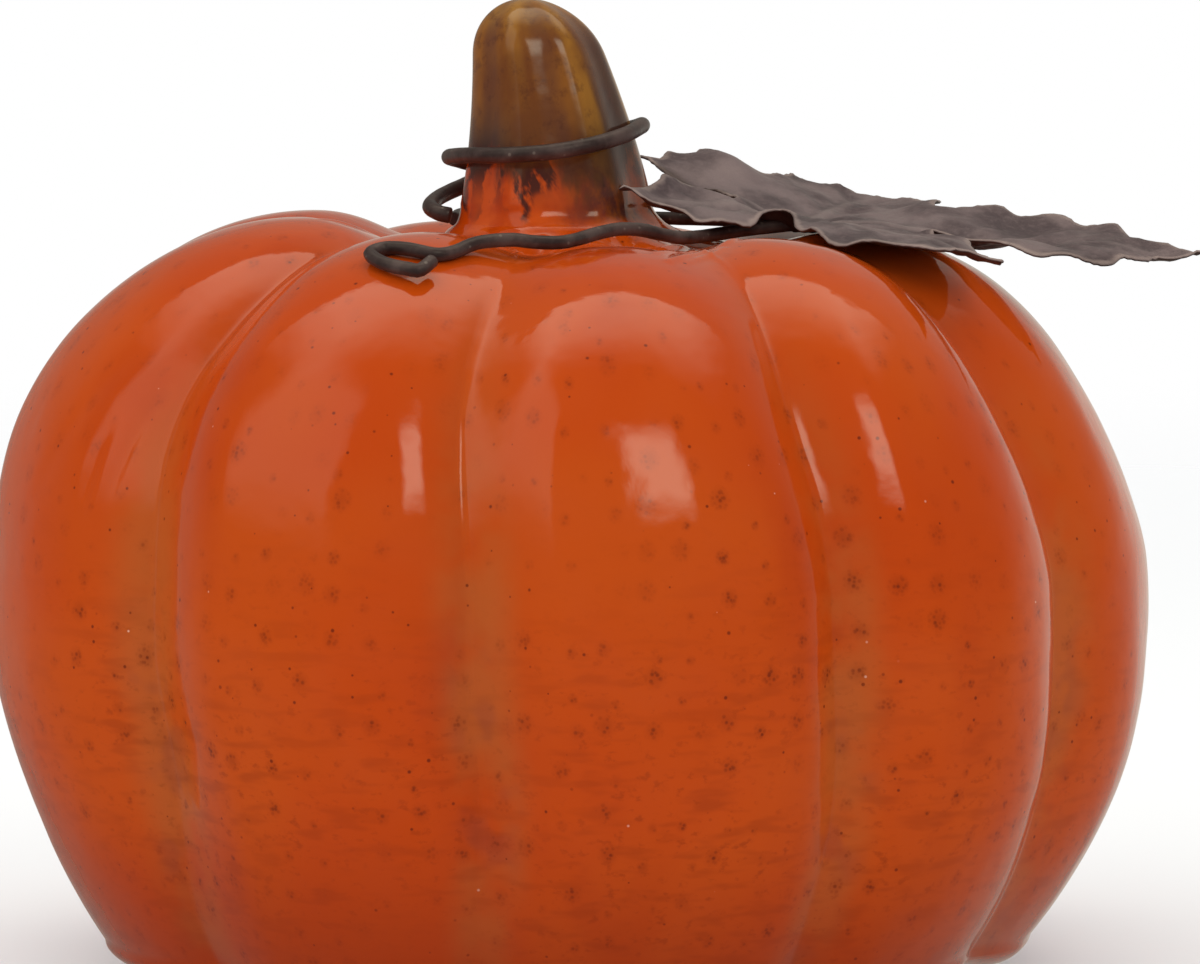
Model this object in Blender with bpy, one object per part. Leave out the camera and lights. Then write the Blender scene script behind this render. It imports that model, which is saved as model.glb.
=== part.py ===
"""Glazed ceramic pumpkin with a sheet-metal leaf and bent wires that slip over its stem.

Frame: +Z up, the front is -Y, the origin is under the middle of the object's bounding box.
The hollow body and the hollow stem are two castings, luted together under the glaze. The leaf,
the tendril and the coil are brazed into one spray, which lifts off the stem.
"""

import math

import bmesh
import bpy
from mathutils import Vector
from mathutils.geometry import delaunay_2d_cdt

MM = 0.001
CLEARANCE = 0.3 * MM  # between neighbouring solids
SHARP_ANGLE = math.radians(40)  # edges sharper than this stay crisp
AXIS_X = -7.0 * MM  # the pumpkin's own axis; the leaf overhangs its right side
AXIS_Y = 0.3 * MM

# Felt pads under the foot ring
PAD_COUNT = 4
PAD_RADIUS = 7 * MM
PAD_HEIGHT = 1.5 * MM
PAD_CIRCLE = 68 * MM

# Pumpkin body: nine ribs round a hollow casting
BASE_Z = PAD_HEIGHT + CLEARANCE
VALLEYS_DEG = (-46.0, -9.0, 28.3, 61.0, 105.0, 146.0, 186.0, 225.0, 270.0)
RIB_TOP_DROPS_MM = (1.6, 3.9, 3.1, 3.3, 4.2, 4.2, 3.5, 0.3, 0.0)
RIB_POWER = 2.3
CREASE_ROUNDING = 0.05
EQUATOR_RADIUS = 109.4 * MM
EQUATOR_Z = BASE_Z + 67 * MM
CREST_RADIUS = 52 * MM
CREST_Z = BASE_Z + 139.4 * MM
FLANK_DROP = 25.2 * MM
FLANK_POWER = 2.04
CORNER_Z = BASE_Z + 5 * MM
FOOT_EDGE_RADIUS = 78.5 * MM
FOOT_INNER_RADIUS = 57 * MM
FOOT_RECESS = 1.2 * MM
GROOVE_FOOT = 3 * MM
GROOVE_FLANK = 8.5 * MM
GROOVE_SHOULDER = 8 * MM
GROOVE_CREST = 5 * MM
GROOVE_DIP = 3.6 * MM
WALL = 5 * MM
GROOVE_SHALLOWS_FROM = 0.6  # share of the way up the shoulder
INNER_GROOVE_SHARE = 0.9
SAGS = ((78 * MM, 143 * MM, -2.3 * MM), (2 * MM, 62 * MM, 1.2 * MM))  # from, to, sideways shift
SAG_POWER = 1.4
VENT_RADIUS = 8 * MM
THROAT_RADIUS = 12 * MM

# Fillet between body and stem, and the stem itself
DIP_RADIUS = 30 * MM
DIP_Z = BASE_Z + 134.4 * MM
FILLET_REACH = 12 * MM
FILLET_RISE = 6.8 * MM
SEAM_ANGLE = math.radians(45)
SEAM_GAP_ANGLE = 0.06  # radians of the fillet left open for the glaze line
FILLET_UPPER_ANGLE = math.radians(68)  # the fillet's one ring between its seam and the stem's foot
STEM_FOOT_Z = DIP_Z + FILLET_RISE
STEM_TOP_Z = BASE_Z + 179.5 * MM
STEM_NARROWING = 7.7 * MM
STEM_DOME_FROM = 0.72
STEM_DOME_POWER = 2.35
STEM_LEAN = 5.6 * MM
STEM_LEAN_POWER = 1.7
STEM_OFFSET = 1.5 * MM
STEM_RIDGES_DEG = (-82.0, -22.0, 33.0, 91.0, 150.0, 212.0)
STEM_LOBE_DEPTH = 0.075
STEM_WALL = 4 * MM
STEM_TIP_WALL = 6.4 * MM
STEM_LEVELS = (0.0, 0.16, 0.34, 0.52, 0.68, 0.8, 0.89, 0.95, 0.985)

# Wires of the spray
TENDRIL_RADIUS = 1.25 * MM
COIL_RADIUS = 1.5 * MM
# Tendril: a hairpin under the leaf. One arm runs along the front of the stem to a curl on a rib,
# and the other straight past the back of the stem.
TENDRIL_ROUTE = (
    (-20.8, 8, 139.7), (-19.3, 15, 140.3), (-12.5, 22, 140.0), (-2, 24.3, 139.5), (10, 21, 139.5),
    (22, 15, 139.5), (34, 8.5, 139.4), (42, 4.5, 139.3), (45.5, 0, 139.2), (42, -4.5, 139.1),
    (33.5, -10, 138.4), (26, -19, 137.7), (21.6, -28, 137.8), (17.8, -32.5, 138.6),
    (14.2, -35, 139.5), (10.3, -38, 139.8), (6.7, -42, 139.3), (0.4, -52, 138.1), (-4.9, -55, 138.2),
    (-9.4, -57, 138.7), (-15, -60, 138.3), (-19.1, -64, 136.9), (-22.3, -66, 136.5),
    (-27.2, -65, 137.4), (-31.3, -63.2, 137.5), (-34.0, -65.5, 136.6), (-31.4, -69.5, 135.1),
    (-27.3, -72, 134.3), (-25.0, -73, 134.1), (-22.9, -70.6, 135.6),
)
# Coil: from its braze on the tendril's back arm, once round the stem and into a hook on the left
COIL_ROUTE = (
    (11, 23.2, 143.2), (4, 24.3, 144.0), (-5, 22.6, 146.0), (-14, 17.5, 148.8), (-19.8, 8.5, 150.8),
    (-21.4, 0, 151.7), (-17.6, -10.5, 152.3), (-11.8, -16.6, 152.5), (-4.4, -19.6, 153.0),
    (2.1, -18.8, 153.9), (7.0, -16.2, 154.9), (11.6, -11, 156.2), (14.6, 0, 157.6),
    (12.0, 10, 156.6), (5, 17, 154.6), (-4, 19.6, 151.8), (-13, 18, 148.4), (-19.6, 12.6, 145.6),
    (-23.5, 7, 143.9), (-25.1, 0.5, 142.4), (-23.6, -3.4, 141.4), (-21.4, -4.2, 140.9),
)

# Leaf: plan outline about the point where the veins meet, in millimetres
LEAF_CENTRE = Vector((43.4, -0.5, 141.5)) * MM
LEAF_SLOPE_X = -0.105
LEAF_SLOPE_Y = 0.06
LEAF_CUP = 0.0003  # per millimetre
LEAF_TWIST = 0.04
LEAF_TWIST_FROM = 20  # millimetres towards the tip
LEAF_TWIST_PIVOT = 0.066
LEAF_BACK_RISE = 4.7  # the two lobes beside the stem bend up
LEAF_BACK_FROM = 4
LEAF_BACK_LENGTH = 28
LEAF_BACK_LIMIT = 1.3
LEAF_BACK_POWER = 1.3
LEAF_HUMP_RISE = 4.2  # the lobe at the back is arched
LEAF_HUMP_CENTRE = (-9, 30)
LEAF_HUMP_WIDTHS = (14, 13)
LEAF_THICKNESS = 0.8 * MM
LEAF_LOBES = (  # tip, then the notch that follows it anticlockwise; then teeth on each side
    ((76, -5), (25, 11), 4),
    ((19, 44), (-2, 19), 3),
    ((-29, 20), (-9, 1), 2),
    ((-33, -19), (-1, -11), 2),
    ((36, -45), (24, -12), 4),
)
LEAF_BULGE = 0.24
LEAF_BULGE_POWER = 1.5
LEAF_BULGE_RANGE = (1.2, 0.8)  # fuller beside the notch than beside the tip
LEAF_TOOTH = 1.8
LEAF_TOOTH_STEPS = (-0.5, 0.9, 0.1)
LEAF_GRID = 6.5  # spacing of the points inside the outline
LEAF_GRID_MARGIN = 2.6


def lerp(a, b, t):
    return a + (b - a) * t


def smoothstep(t):
    t = min(1.0, max(0.0, t))
    return t * t * (3 - 2 * t)


def direction(angle):
    """Unit vector in plan; angle 0 is the front and positive angles go to the right."""
    return Vector((math.sin(angle), -math.cos(angle), 0))


def rib_at(angle):
    """The rib that holds this angle, and how far across it, from -1 to 1 with 0 on its crest."""
    degrees = (math.degrees(angle) - VALLEYS_DEG[0]) % 360 + VALLEYS_DEG[0]
    ends = VALLEYS_DEG + (VALLEYS_DEG[0] + 360,)
    for rib, (low, high) in enumerate(zip(ends, ends[1:])):
        if degrees <= high + 1e-9:
            return rib, 2 * (degrees - low) / (high - low) - 1
    return 0, -1.0


def groove_share(across):
    """0 on a rib's crest and 1 at the bottom of the valley, which is slightly rounded."""
    soft = CREASE_ROUNDING
    raw = math.sqrt((1 - abs(across) ** RIB_POWER) ** 2 + soft**2) - soft
    return 1 - raw / (math.sqrt(1 + soft**2) - soft)


def flank_radius(z):
    fall = max(0.0, (EQUATOR_Z - z) / (EQUATOR_Z - BASE_Z))
    return EQUATOR_RADIUS - FLANK_DROP * fall**FLANK_POWER


def crest_stations(corner, flank, shoulder, dip):
    """Crest profile from the foot to the dip round the stem: (radius, z, groove depth, top share).

    The numbers of steps are for the foot's corner, the flank, the shoulder and the dip.
    """
    edge_radius = flank_radius(CORNER_Z)
    stations = []
    for i in range(corner):
        a = i / corner * math.pi / 2
        r = lerp(FOOT_EDGE_RADIUS, edge_radius, math.sin(a))
        z = lerp(BASE_Z, CORNER_Z, 1 - math.cos(a))
        stations.append((r, z, GROOVE_FOOT, 0.0))
    for i in range(flank):
        t = i / flank
        z = lerp(CORNER_Z, EQUATOR_Z, t)
        stations.append((flank_radius(z), z, lerp(GROOVE_FOOT, GROOVE_FLANK, smoothstep(1.4 * t)), 0.0))
    for i in range(shoulder):
        a = i / shoulder * math.pi / 2
        r = lerp(CREST_RADIUS, EQUATOR_RADIUS, math.cos(a))
        z = lerp(EQUATOR_Z, CREST_Z, math.sin(a))
        t = i / shoulder
        depth = lerp(GROOVE_FLANK, GROOVE_SHOULDER, min(t, GROOVE_SHALLOWS_FROM))
        if t > GROOVE_SHALLOWS_FROM:
            depth = lerp(depth, GROOVE_CREST, (t - GROOVE_SHALLOWS_FROM) / (1 - GROOVE_SHALLOWS_FROM))
        stations.append((r, z, depth, math.sin(a) ** 3))
    for i in range(dip):
        t = i / dip
        r = lerp(CREST_RADIUS, DIP_RADIUS, t)
        z = lerp(CREST_Z, DIP_Z, 0.5 - 0.5 * math.cos(math.pi * t))
        stations.append((r, z, lerp(GROOVE_CREST, GROOVE_DIP, t), 1 - t * t))
    return stations


def sideways_sag(z):
    """The casting sagged a little before it was fired: its shoulders to the left, its flanks to the right."""
    total = 0.0
    for low, high, shift in SAGS:
        share = min(1.0, max(0.0, (z - low) / (high - low)))
        total += shift * math.sin(math.pi * share) ** SAG_POWER
    return total


def inward_normals(stations):
    """For each station, the profile's unit normal that points into the clay, as (radial, up)."""
    normals = []
    for i in range(len(stations)):
        before = stations[max(0, i - 1)]
        after = stations[min(len(stations) - 1, i + 1)]
        along = Vector((after[0] - before[0], after[1] - before[1])).normalized()
        normals.append((-along.y, along.x))
    return normals


def ribbed_ring(station, normal, angles, inset=0.0, groove_scale=1.0):
    """The ring of points that a station makes round the body, pushed in by inset."""
    r, z, depth, top_share = station
    ring = []
    for angle in angles:
        rib, across = rib_at(angle)
        push = inset + depth * groove_scale * groove_share(across)
        drop = RIB_TOP_DROPS_MM[rib] * MM * top_share * (1 - across**4)
        point = direction(angle) * (r + normal[0] * push)
        point.x += sideways_sag(z)
        point.z = z + normal[1] * push - drop
        ring.append(point)
    return ring


def stem_centre(z):
    """The stem leans to the left as it rises."""
    share = min(1.0, max(0.0, (z - STEM_FOOT_Z) / (STEM_TOP_Z - STEM_FOOT_Z)))
    lean = STEM_LEAN * share**STEM_LEAN_POWER
    return Vector((-STEM_OFFSET * smoothstep((z - DIP_Z) / FILLET_RISE) - lean, 0, 0))


def lobe_share(angle):
    """0 on a ridge of the stem and 1 half way to the next one."""
    degrees = (math.degrees(angle) - STEM_RIDGES_DEG[0]) % 360 + STEM_RIDGES_DEG[0]
    ends = STEM_RIDGES_DEG + (STEM_RIDGES_DEG[0] + 360,)
    for low, high in zip(ends, ends[1:]):
        if degrees <= high + 1e-9:
            across = 2 * (degrees - low) / (high - low) - 1
            return 1 - across * across
    return 0.0


def stem_ring(radius, z, angles, lobes=1.0):
    centre = stem_centre(z)
    ring = []
    for angle in angles:
        point = centre + direction(angle) * radius * (1 - lobes * STEM_LOBE_DEPTH * lobe_share(angle))
        point.z = z
        ring.append(point)
    return ring


def fillet_ring(turn, angles, groove=0.0):
    """A ring of the fillet under the stem. turn is 0 in the dip and a right angle on the stem."""
    radius = DIP_RADIUS - FILLET_REACH * math.sin(turn)
    z = STEM_FOOT_Z - FILLET_RISE * math.cos(turn)
    ring = stem_ring(radius, z, angles, lobes=math.sin(turn))
    for point, angle in zip(ring, angles):
        point.z -= groove * groove_share(rib_at(angle)[1])
    return ring


def stem_radius(z):
    """The stem narrows evenly and ends in a dome."""
    s = max(0.0, (z - STEM_FOOT_Z) / (STEM_TOP_Z - STEM_FOOT_Z))
    dome = max(0.0, (s - STEM_DOME_FROM) / (1 - STEM_DOME_FROM))
    straight = DIP_RADIUS - FILLET_REACH - STEM_NARROWING * s
    return straight * math.sqrt(max(0.0, 1 - dome**STEM_DOME_POWER))


def circle(radius, z, angles):
    ring = [direction(a) * radius for a in angles]
    for point in ring:
        point.z = z
    return ring


def loft(name, rings, closed=False, pole_start=None, pole_end=None):
    """A mesh object through equal rings. closed joins the last ring to the first."""
    mesh = bmesh.new()
    loops = [[mesh.verts.new(p) for p in ring] for ring in rings]
    pairs = list(zip(loops, loops[1:])) + ([(loops[-1], loops[0])] if closed else [])
    count = len(loops[0])
    for low, high in pairs:
        for i in range(count):
            j = (i + 1) % count
            mesh.faces.new((low[i], low[j], high[j], high[i]))
    for pole, loop in ((pole_start, loops[0]), (pole_end, loops[-1])):
        if pole is not None:
            tip = mesh.verts.new(pole)
            for i in range(count):
                mesh.faces.new((loop[i], loop[(i + 1) % count], tip))
    bmesh.ops.recalc_face_normals(mesh, faces=mesh.faces)
    data = bpy.data.meshes.new(name)
    mesh.to_mesh(data)
    mesh.free()
    data.shade_smooth()
    data.set_sharp_from_angle(angle=SHARP_ANGLE)
    return bpy.data.objects.new(name, data)


def rib_angles(per_rib):
    """Angles round the body, closer together near the valleys."""
    ends = VALLEYS_DEG + (VALLEYS_DEG[0] + 360,)
    angles = []
    for low, high in zip(ends, ends[1:]):
        for i in range(per_rib):
            across = math.sin(math.pi / 2 * (2 * i / per_rib - 1))
            angles.append(math.radians(lerp(low, high, (across + 1) / 2)))
    return angles


def build_body():
    """The hollow casting: underside, ribs, seat for the stem, throat, and the inside of the wall."""
    angles = rib_angles(8)
    stations = crest_stations(corner=2, flank=6, shoulder=8, dip=3)
    normals = inward_normals(stations)
    rings = [
        circle(VENT_RADIUS, BASE_Z + FOOT_RECESS, angles),
        circle(FOOT_INNER_RADIUS - 2 * FOOT_RECESS, BASE_Z + FOOT_RECESS, angles),
        circle(FOOT_INNER_RADIUS, BASE_Z, angles),
    ]
    for index, (station, normal) in enumerate(zip(stations, normals)):
        rings.append(ribbed_ring(station, (-1.0, 0.0) if index == 0 else normal, angles))
    for share in (0.0, 0.5, 1.0):
        rings.append(fillet_ring(SEAM_ANGLE * share, angles, GROOVE_DIP * (1 - share)))
    seat_z = STEM_FOOT_Z - FILLET_RISE * math.cos(SEAM_ANGLE)
    rings.append(circle(THROAT_RADIUS, seat_z, angles))
    ceiling_z = DIP_Z - WALL - GROOVE_DIP
    rings.append(circle(THROAT_RADIUS, ceiling_z, angles))
    inside = crest_stations(corner=2, flank=4, shoulder=5, dip=2)
    inside_normals = inward_normals(inside)
    for station, normal in list(zip(inside, inside_normals))[:2:-1]:
        rings.append(ribbed_ring(station, normal, angles, inset=WALL, groove_scale=INNER_GROOVE_SHARE))
    floor_z = BASE_Z + FOOT_RECESS + WALL
    rings.append(circle(FOOT_EDGE_RADIUS - 2 * WALL, floor_z, angles))
    rings.append(circle(VENT_RADIUS, floor_z, angles))
    return loft("body_shell", rings, closed=True)


def build_stem():
    """The hollow, ridged stem, whose rim stands on the body's seat."""
    angles = [math.radians(a) for a in range(0, 360, 12)]
    seam_turn = SEAM_ANGLE + SEAM_GAP_ANGLE
    rim_z = STEM_FOOT_Z - FILLET_RISE * math.cos(seam_turn)
    heights = [lerp(STEM_FOOT_Z, STEM_TOP_Z, level) for level in STEM_LEVELS]
    inner_top = STEM_TOP_Z - STEM_TIP_WALL
    inner_heights = [z for z in heights if z < inner_top - STEM_WALL]
    rings = [stem_ring(stem_radius(z) - STEM_WALL, z, angles, lobes=0.5) for z in reversed(inner_heights)]
    rings.append(circle(THROAT_RADIUS + CLEARANCE, rim_z, angles))
    rings.append(fillet_ring(seam_turn, angles))
    rings.append(fillet_ring(FILLET_UPPER_ANGLE, angles))
    rings += [stem_ring(stem_radius(z), z, angles) for z in heights]
    inner_pole = stem_centre(inner_top) + Vector((0, 0, inner_top))
    outer_pole = stem_centre(STEM_TOP_Z) + Vector((0, 0, STEM_TOP_Z))
    return loft("stem", rings, pole_start=inner_pole, pole_end=outer_pole)


def smooth_route(points, step):
    """Points about a step apart on a smooth curve through the route's points, in metres."""
    knots = [Vector(p) * MM for p in points]
    knots = [2 * knots[0] - knots[1]] + knots + [2 * knots[-1] - knots[-2]]
    fine = []
    for a, b, c, d in zip(knots, knots[1:], knots[2:], knots[3:]):
        for i in range(24):
            t = i / 24
            fine.append(0.5 * (2 * b + (c - a) * t + (2 * a - 5 * b + 4 * c - d) * t**2
                               + (3 * b - a - 3 * c + d) * t**3))
    fine.append(knots[-2])
    lengths = [0.0]
    for p, q in zip(fine, fine[1:]):
        lengths.append(lengths[-1] + (q - p).length)
    count = round(lengths[-1] / step)
    even = []
    index = 0
    for k in range(count + 1):
        wanted = lengths[-1] * k / count
        while index < len(fine) - 2 and lengths[index + 1] < wanted:
            index += 1
        span = lengths[index + 1] - lengths[index]
        even.append(fine[index].lerp(fine[index + 1], (wanted - lengths[index]) / span))
    return even


def build_wire(name, route, radius):
    """A round wire with flat cut ends."""
    curve = bpy.data.curves.new(name, "CURVE")
    curve.dimensions = "3D"
    curve.bevel_depth = radius
    curve.bevel_resolution = 2
    curve.use_fill_caps = True
    points = smooth_route(route, step=2.2 * radius)
    spline = curve.splines.new("POLY")
    spline.points.add(len(points) - 1)
    for place, point in zip(spline.points, points):
        place.co = (*point, 1)
    return bpy.data.objects.new(name, curve)


def leaf_outline():
    """Plan points round the leaf's toothed edge, anticlockwise, in millimetres."""
    outline = []
    for index, (tip, notch, teeth) in enumerate(LEAF_LOBES):
        before = Vector(LEAF_LOBES[index - 1][1])
        tip, notch = Vector(tip), Vector(notch)
        for start, end, rising in ((before, tip, True), (tip, notch, False)):
            chord = end - start
            outward = Vector((chord.y, -chord.x)).normalized()
            steps = len(LEAF_TOOTH_STEPS) * teeth
            for k in range(steps):
                t = k / steps
                near_tip = t if rising else 1 - t
                swell = math.sin(math.pi * t) ** LEAF_BULGE_POWER * lerp(*LEAF_BULGE_RANGE, near_tip)
                tooth = LEAF_TOOTH * LEAF_TOOTH_STEPS[k % len(LEAF_TOOTH_STEPS)] * min(1, 3 * near_tip)
                if k == 0 or k == steps - 1:
                    tooth = 0.0
                outline.append(start + chord * t + outward * (LEAF_BULGE * chord.length * swell + tooth))
    return outline


def leaf_height(u, v):
    """How high the leaf's middle surface is above LEAF_CENTRE at plan offset (u, v), in millimetres."""
    height = LEAF_SLOPE_X * u + LEAF_SLOPE_Y * v + LEAF_CUP * v * v
    twist_share = smoothstep((u - LEAF_TWIST_FROM) / LEAF_TWIST_FROM)
    height += LEAF_TWIST * (v + LEAF_TWIST_PIVOT * u) * twist_share
    back_share = max(0.0, -u - LEAF_BACK_FROM) / LEAF_BACK_LENGTH
    height += LEAF_BACK_RISE * min(LEAF_BACK_LIMIT, back_share) ** LEAF_BACK_POWER
    across = (u - LEAF_HUMP_CENTRE[0]) / LEAF_HUMP_WIDTHS[0]
    along = (v - LEAF_HUMP_CENTRE[1]) / LEAF_HUMP_WIDTHS[1]
    return height + LEAF_HUMP_RISE * math.exp(-across * across - along * along)


def distance_to_outline(point, outline):
    """How far a plan point is from the outline, and whether it is inside it."""
    nearest = math.inf
    inside = False
    for start, end in zip(outline, outline[1:] + outline[:1]):
        side = end - start
        share = min(1.0, max(0.0, (point - start).dot(side) / side.length_squared))
        nearest = min(nearest, (start + side * share - point).length)
        if (start.y > point.y) != (end.y > point.y):
            crossing = start.x + side.x * (point.y - start.y) / side.y
            inside ^= crossing > point.x
    return nearest, inside


def leaf_plan():
    """Points and triangles of the leaf in plan, the outline's points first."""
    outline = leaf_outline()
    points = list(outline)
    low_u, high_u = min(p.x for p in outline), max(p.x for p in outline)
    low_v, high_v = min(p.y for p in outline), max(p.y for p in outline)
    row = 0
    v = low_v
    while v < high_v:
        u = low_u + LEAF_GRID / 2 * (row % 2)
        while u < high_u:
            distance, inside = distance_to_outline(Vector((u, v)), outline)
            if inside and distance > LEAF_GRID_MARGIN:
                points.append(Vector((u, v)))
            u += LEAF_GRID
        v += LEAF_GRID * math.sqrt(3) / 2
        row += 1
    placed, _, faces, _, _, _ = delaunay_2d_cdt(points, [], [list(range(len(outline)))], 1, 1e-6)
    return placed, faces, len(outline)


def build_leaf():
    """The leaf blade: a cupped sheet of even thickness, cut to the toothed outline."""
    points, faces, edge_count = leaf_plan()
    mesh = bmesh.new()
    sheets = []
    for offset in (LEAF_THICKNESS / 2, -LEAF_THICKNESS / 2):
        sheet = []
        for u, v in points:
            place = LEAF_CENTRE + Vector((u, v, leaf_height(u, v))) * MM
            place.z += offset
            sheet.append(mesh.verts.new(place))
        sheets.append(sheet)
        for corners in faces:
            mesh.faces.new([sheet[i] for i in corners])
    top, bottom = sheets
    for i in range(edge_count):
        j = (i + 1) % edge_count
        mesh.faces.new((top[i], bottom[i], bottom[j], top[j]))
    bmesh.ops.recalc_face_normals(mesh, faces=mesh.faces)
    data = bpy.data.meshes.new("leaf_blade")
    mesh.to_mesh(data)
    mesh.free()
    return bpy.data.objects.new("leaf_blade", data)


def build_pad(index):
    angle = math.radians(45 + 360 / PAD_COUNT * index)
    mesh = bmesh.new()
    bmesh.ops.create_cone(mesh, cap_ends=True, segments=24, radius1=PAD_RADIUS, radius2=PAD_RADIUS,
                          depth=PAD_HEIGHT)
    name = f"foot_pad_{index + 1}"
    data = bpy.data.meshes.new(name)
    mesh.to_mesh(data)
    mesh.free()
    pad = bpy.data.objects.new(name, data)
    pad.location = direction(angle) * PAD_CIRCLE + Vector((0, 0, PAD_HEIGHT / 2))
    return pad


def finish(obj, colour, roughness, metallic, parent):
    """Link the object under its parent, with its own plain material."""
    material = bpy.data.materials.new(obj.name)
    material.use_nodes = True
    shader = material.node_tree.nodes["Principled BSDF"]
    shader.inputs["Base Color"].default_value = (*colour, 1)
    shader.inputs["Roughness"].default_value = roughness
    shader.inputs["Metallic"].default_value = metallic
    obj.data.materials.append(material)
    obj.parent = parent
    bpy.context.scene.collection.objects.link(obj)


def main():
    for old in list(bpy.data.objects):
        bpy.data.objects.remove(old)
    axis = bpy.data.objects.new("pumpkin_axis", None)
    axis.location = (AXIS_X, AXIS_Y, 0)
    bpy.context.scene.collection.objects.link(axis)
    orange, brown = (0.72, 0.16, 0.03), (0.16, 0.07, 0.02)
    iron, pewter, felt = (0.05, 0.035, 0.03), (0.16, 0.14, 0.13), (0.08, 0.08, 0.08)
    finish(build_body(), orange, 0.15, 0.0, axis)
    finish(build_stem(), brown, 0.18, 0.0, axis)
    for index in range(PAD_COUNT):
        finish(build_pad(index), felt, 0.95, 0.0, axis)
    spray = bpy.data.objects.new("spray", None)
    spray.parent = axis
    bpy.context.scene.collection.objects.link(spray)
    finish(build_wire("tendril_wire", TENDRIL_ROUTE, TENDRIL_RADIUS), iron, 0.45, 0.4, spray)
    finish(build_wire("coil_wire", COIL_ROUTE, COIL_RADIUS), iron, 0.45, 0.4, spray)
    finish(build_leaf(), pewter, 0.5, 0.6, spray)


main()
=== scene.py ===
"""Glazed ceramic pumpkin with a sheet-metal leaf and bent wires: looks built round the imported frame.

Metres, +Z up, front -Y. The pumpkin's own axis stands a little left of the frame's origin.
"""

import math

import bmesh
import bpy
import numpy as np
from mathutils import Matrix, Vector, noise
from mathutils.geometry import delaunay_2d_cdt


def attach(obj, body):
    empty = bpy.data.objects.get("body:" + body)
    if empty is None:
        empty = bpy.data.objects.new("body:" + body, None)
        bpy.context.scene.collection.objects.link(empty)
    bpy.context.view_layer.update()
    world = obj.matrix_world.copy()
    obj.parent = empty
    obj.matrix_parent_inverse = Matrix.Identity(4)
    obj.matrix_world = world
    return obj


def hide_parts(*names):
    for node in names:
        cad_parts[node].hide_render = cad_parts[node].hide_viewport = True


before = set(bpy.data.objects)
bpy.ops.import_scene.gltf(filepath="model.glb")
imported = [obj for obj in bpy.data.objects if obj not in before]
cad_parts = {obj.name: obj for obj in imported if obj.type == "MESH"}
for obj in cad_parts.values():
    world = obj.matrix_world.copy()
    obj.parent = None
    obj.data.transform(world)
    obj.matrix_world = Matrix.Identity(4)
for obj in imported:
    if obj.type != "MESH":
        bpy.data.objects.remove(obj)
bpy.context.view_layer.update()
MM = 0.001

# ---------------------------------------------------------------- the CAD's driving dimensions, repeated
AXIS_X = -7.0 * MM
AXIS_Y = 0.3 * MM
AXIS = np.array((AXIS_X, AXIS_Y, 0))
BASE_Z = 1.8 * MM
VALLEYS = np.array((-46.0, -9.0, 28.3, 61.0, 105.0, 146.0, 186.0, 225.0, 270.0, 314.0))
RIB_TOP_DROPS = np.array((1.6, 3.9, 3.1, 3.3, 4.2, 4.2, 3.5, 0.3, 0.0)) * MM
EQUATOR_RADIUS = 109.4 * MM
EQUATOR_Z = BASE_Z + 67 * MM
CREST_RADIUS = 52 * MM
CREST_Z = BASE_Z + 139.4 * MM
FLANK_DROP = 25.2 * MM
FLANK_POWER = 2.04
CORNER_Z = BASE_Z + 5 * MM
FOOT_EDGE_RADIUS = 78.5 * MM
FOOT_INNER_RADIUS = 57 * MM
FOOT_RECESS = 1.2 * MM
WALL = 5 * MM
VENT_RADIUS = 8 * MM
THROAT_RADIUS = 12 * MM
DIP_RADIUS = 30 * MM
DIP_Z = BASE_Z + 134.4 * MM
FILLET_REACH = 12 * MM
FILLET_RISE = 6.8 * MM
SEAM_ANGLE = math.radians(45)
STEM_FOOT_Z = DIP_Z + FILLET_RISE
STEM_TOP_Z = BASE_Z + 179.5 * MM
STEM_NARROWING = 7.7 * MM
STEM_DOME_FROM = 0.72
STEM_DOME_POWER = 2.35
STEM_LEAN = 5.6 * MM
STEM_LEAN_POWER = 1.7
STEM_OFFSET = 1.5 * MM
PAD_RADIUS = 7 * MM
PAD_HEIGHT = 1.5 * MM
PAD_CIRCLE = 68 * MM


def smoothstep(t):
    t = np.clip(t, 0.0, 1.0)
    return t * t * (3 - 2 * t)


def lerp(a, b, t):
    return a + (b - a) * t


def noise_at(points, scale, seed):
    """Smooth noise, -1 to 1, at each point of an array of points."""
    shift = Vector((3.1 * seed, 7.7 * seed, 1.9 * seed))
    flat = points.reshape(-1, 3) * scale
    values = np.array([noise.noise(Vector(p) + shift) for p in flat])
    return values.reshape(points.shape[:-1])


def segment_field(points, start, end):
    """Each point's distance from a straight line, and the share of the way along it of the nearest place."""
    start = np.array(start, float)
    side = np.array(end, float) - start
    share = np.clip(((points - start) @ side) / (side @ side), 0, 1)
    return np.linalg.norm(points - start - share[..., None] * side, axis=-1), share


def run_along(points):
    """How far along a line of points each one is."""
    return np.concatenate([[0], np.cumsum(np.linalg.norm(np.diff(points, axis=0), axis=1))])


# ---------------------------------------------------------------- meshes
def new_object(name, data):
    obj = bpy.data.objects.new(name, data)
    bpy.context.scene.collection.objects.link(obj)
    return obj


def mesh_object(name, vertices, faces):
    data = bpy.data.meshes.new(name)
    data.from_pydata([tuple(v) for v in vertices], [], faces)
    data.validate()
    data.shade_smooth()
    return new_object(name, data)


def ring_faces(rings, count, closed_along=False):
    """Quads between successive rings of count points."""
    faces = []
    last = rings if closed_along else rings - 1
    for r in range(last):
        low = r * count
        high = ((r + 1) % rings) * count
        for i in range(count):
            j = (i + 1) % count
            faces.append((low + i, low + j, high + j, high + i))
    return faces


def end_fans(rings, count, first_tip, last_tip):
    """Triangles that close a tube of rings on a point at each end."""
    faces = []
    last = (rings - 1) * count
    for i in range(count):
        j = (i + 1) % count
        faces.append((j, i, first_tip))
        faces.append((last + i, last + j, last_tip))
    return faces


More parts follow.
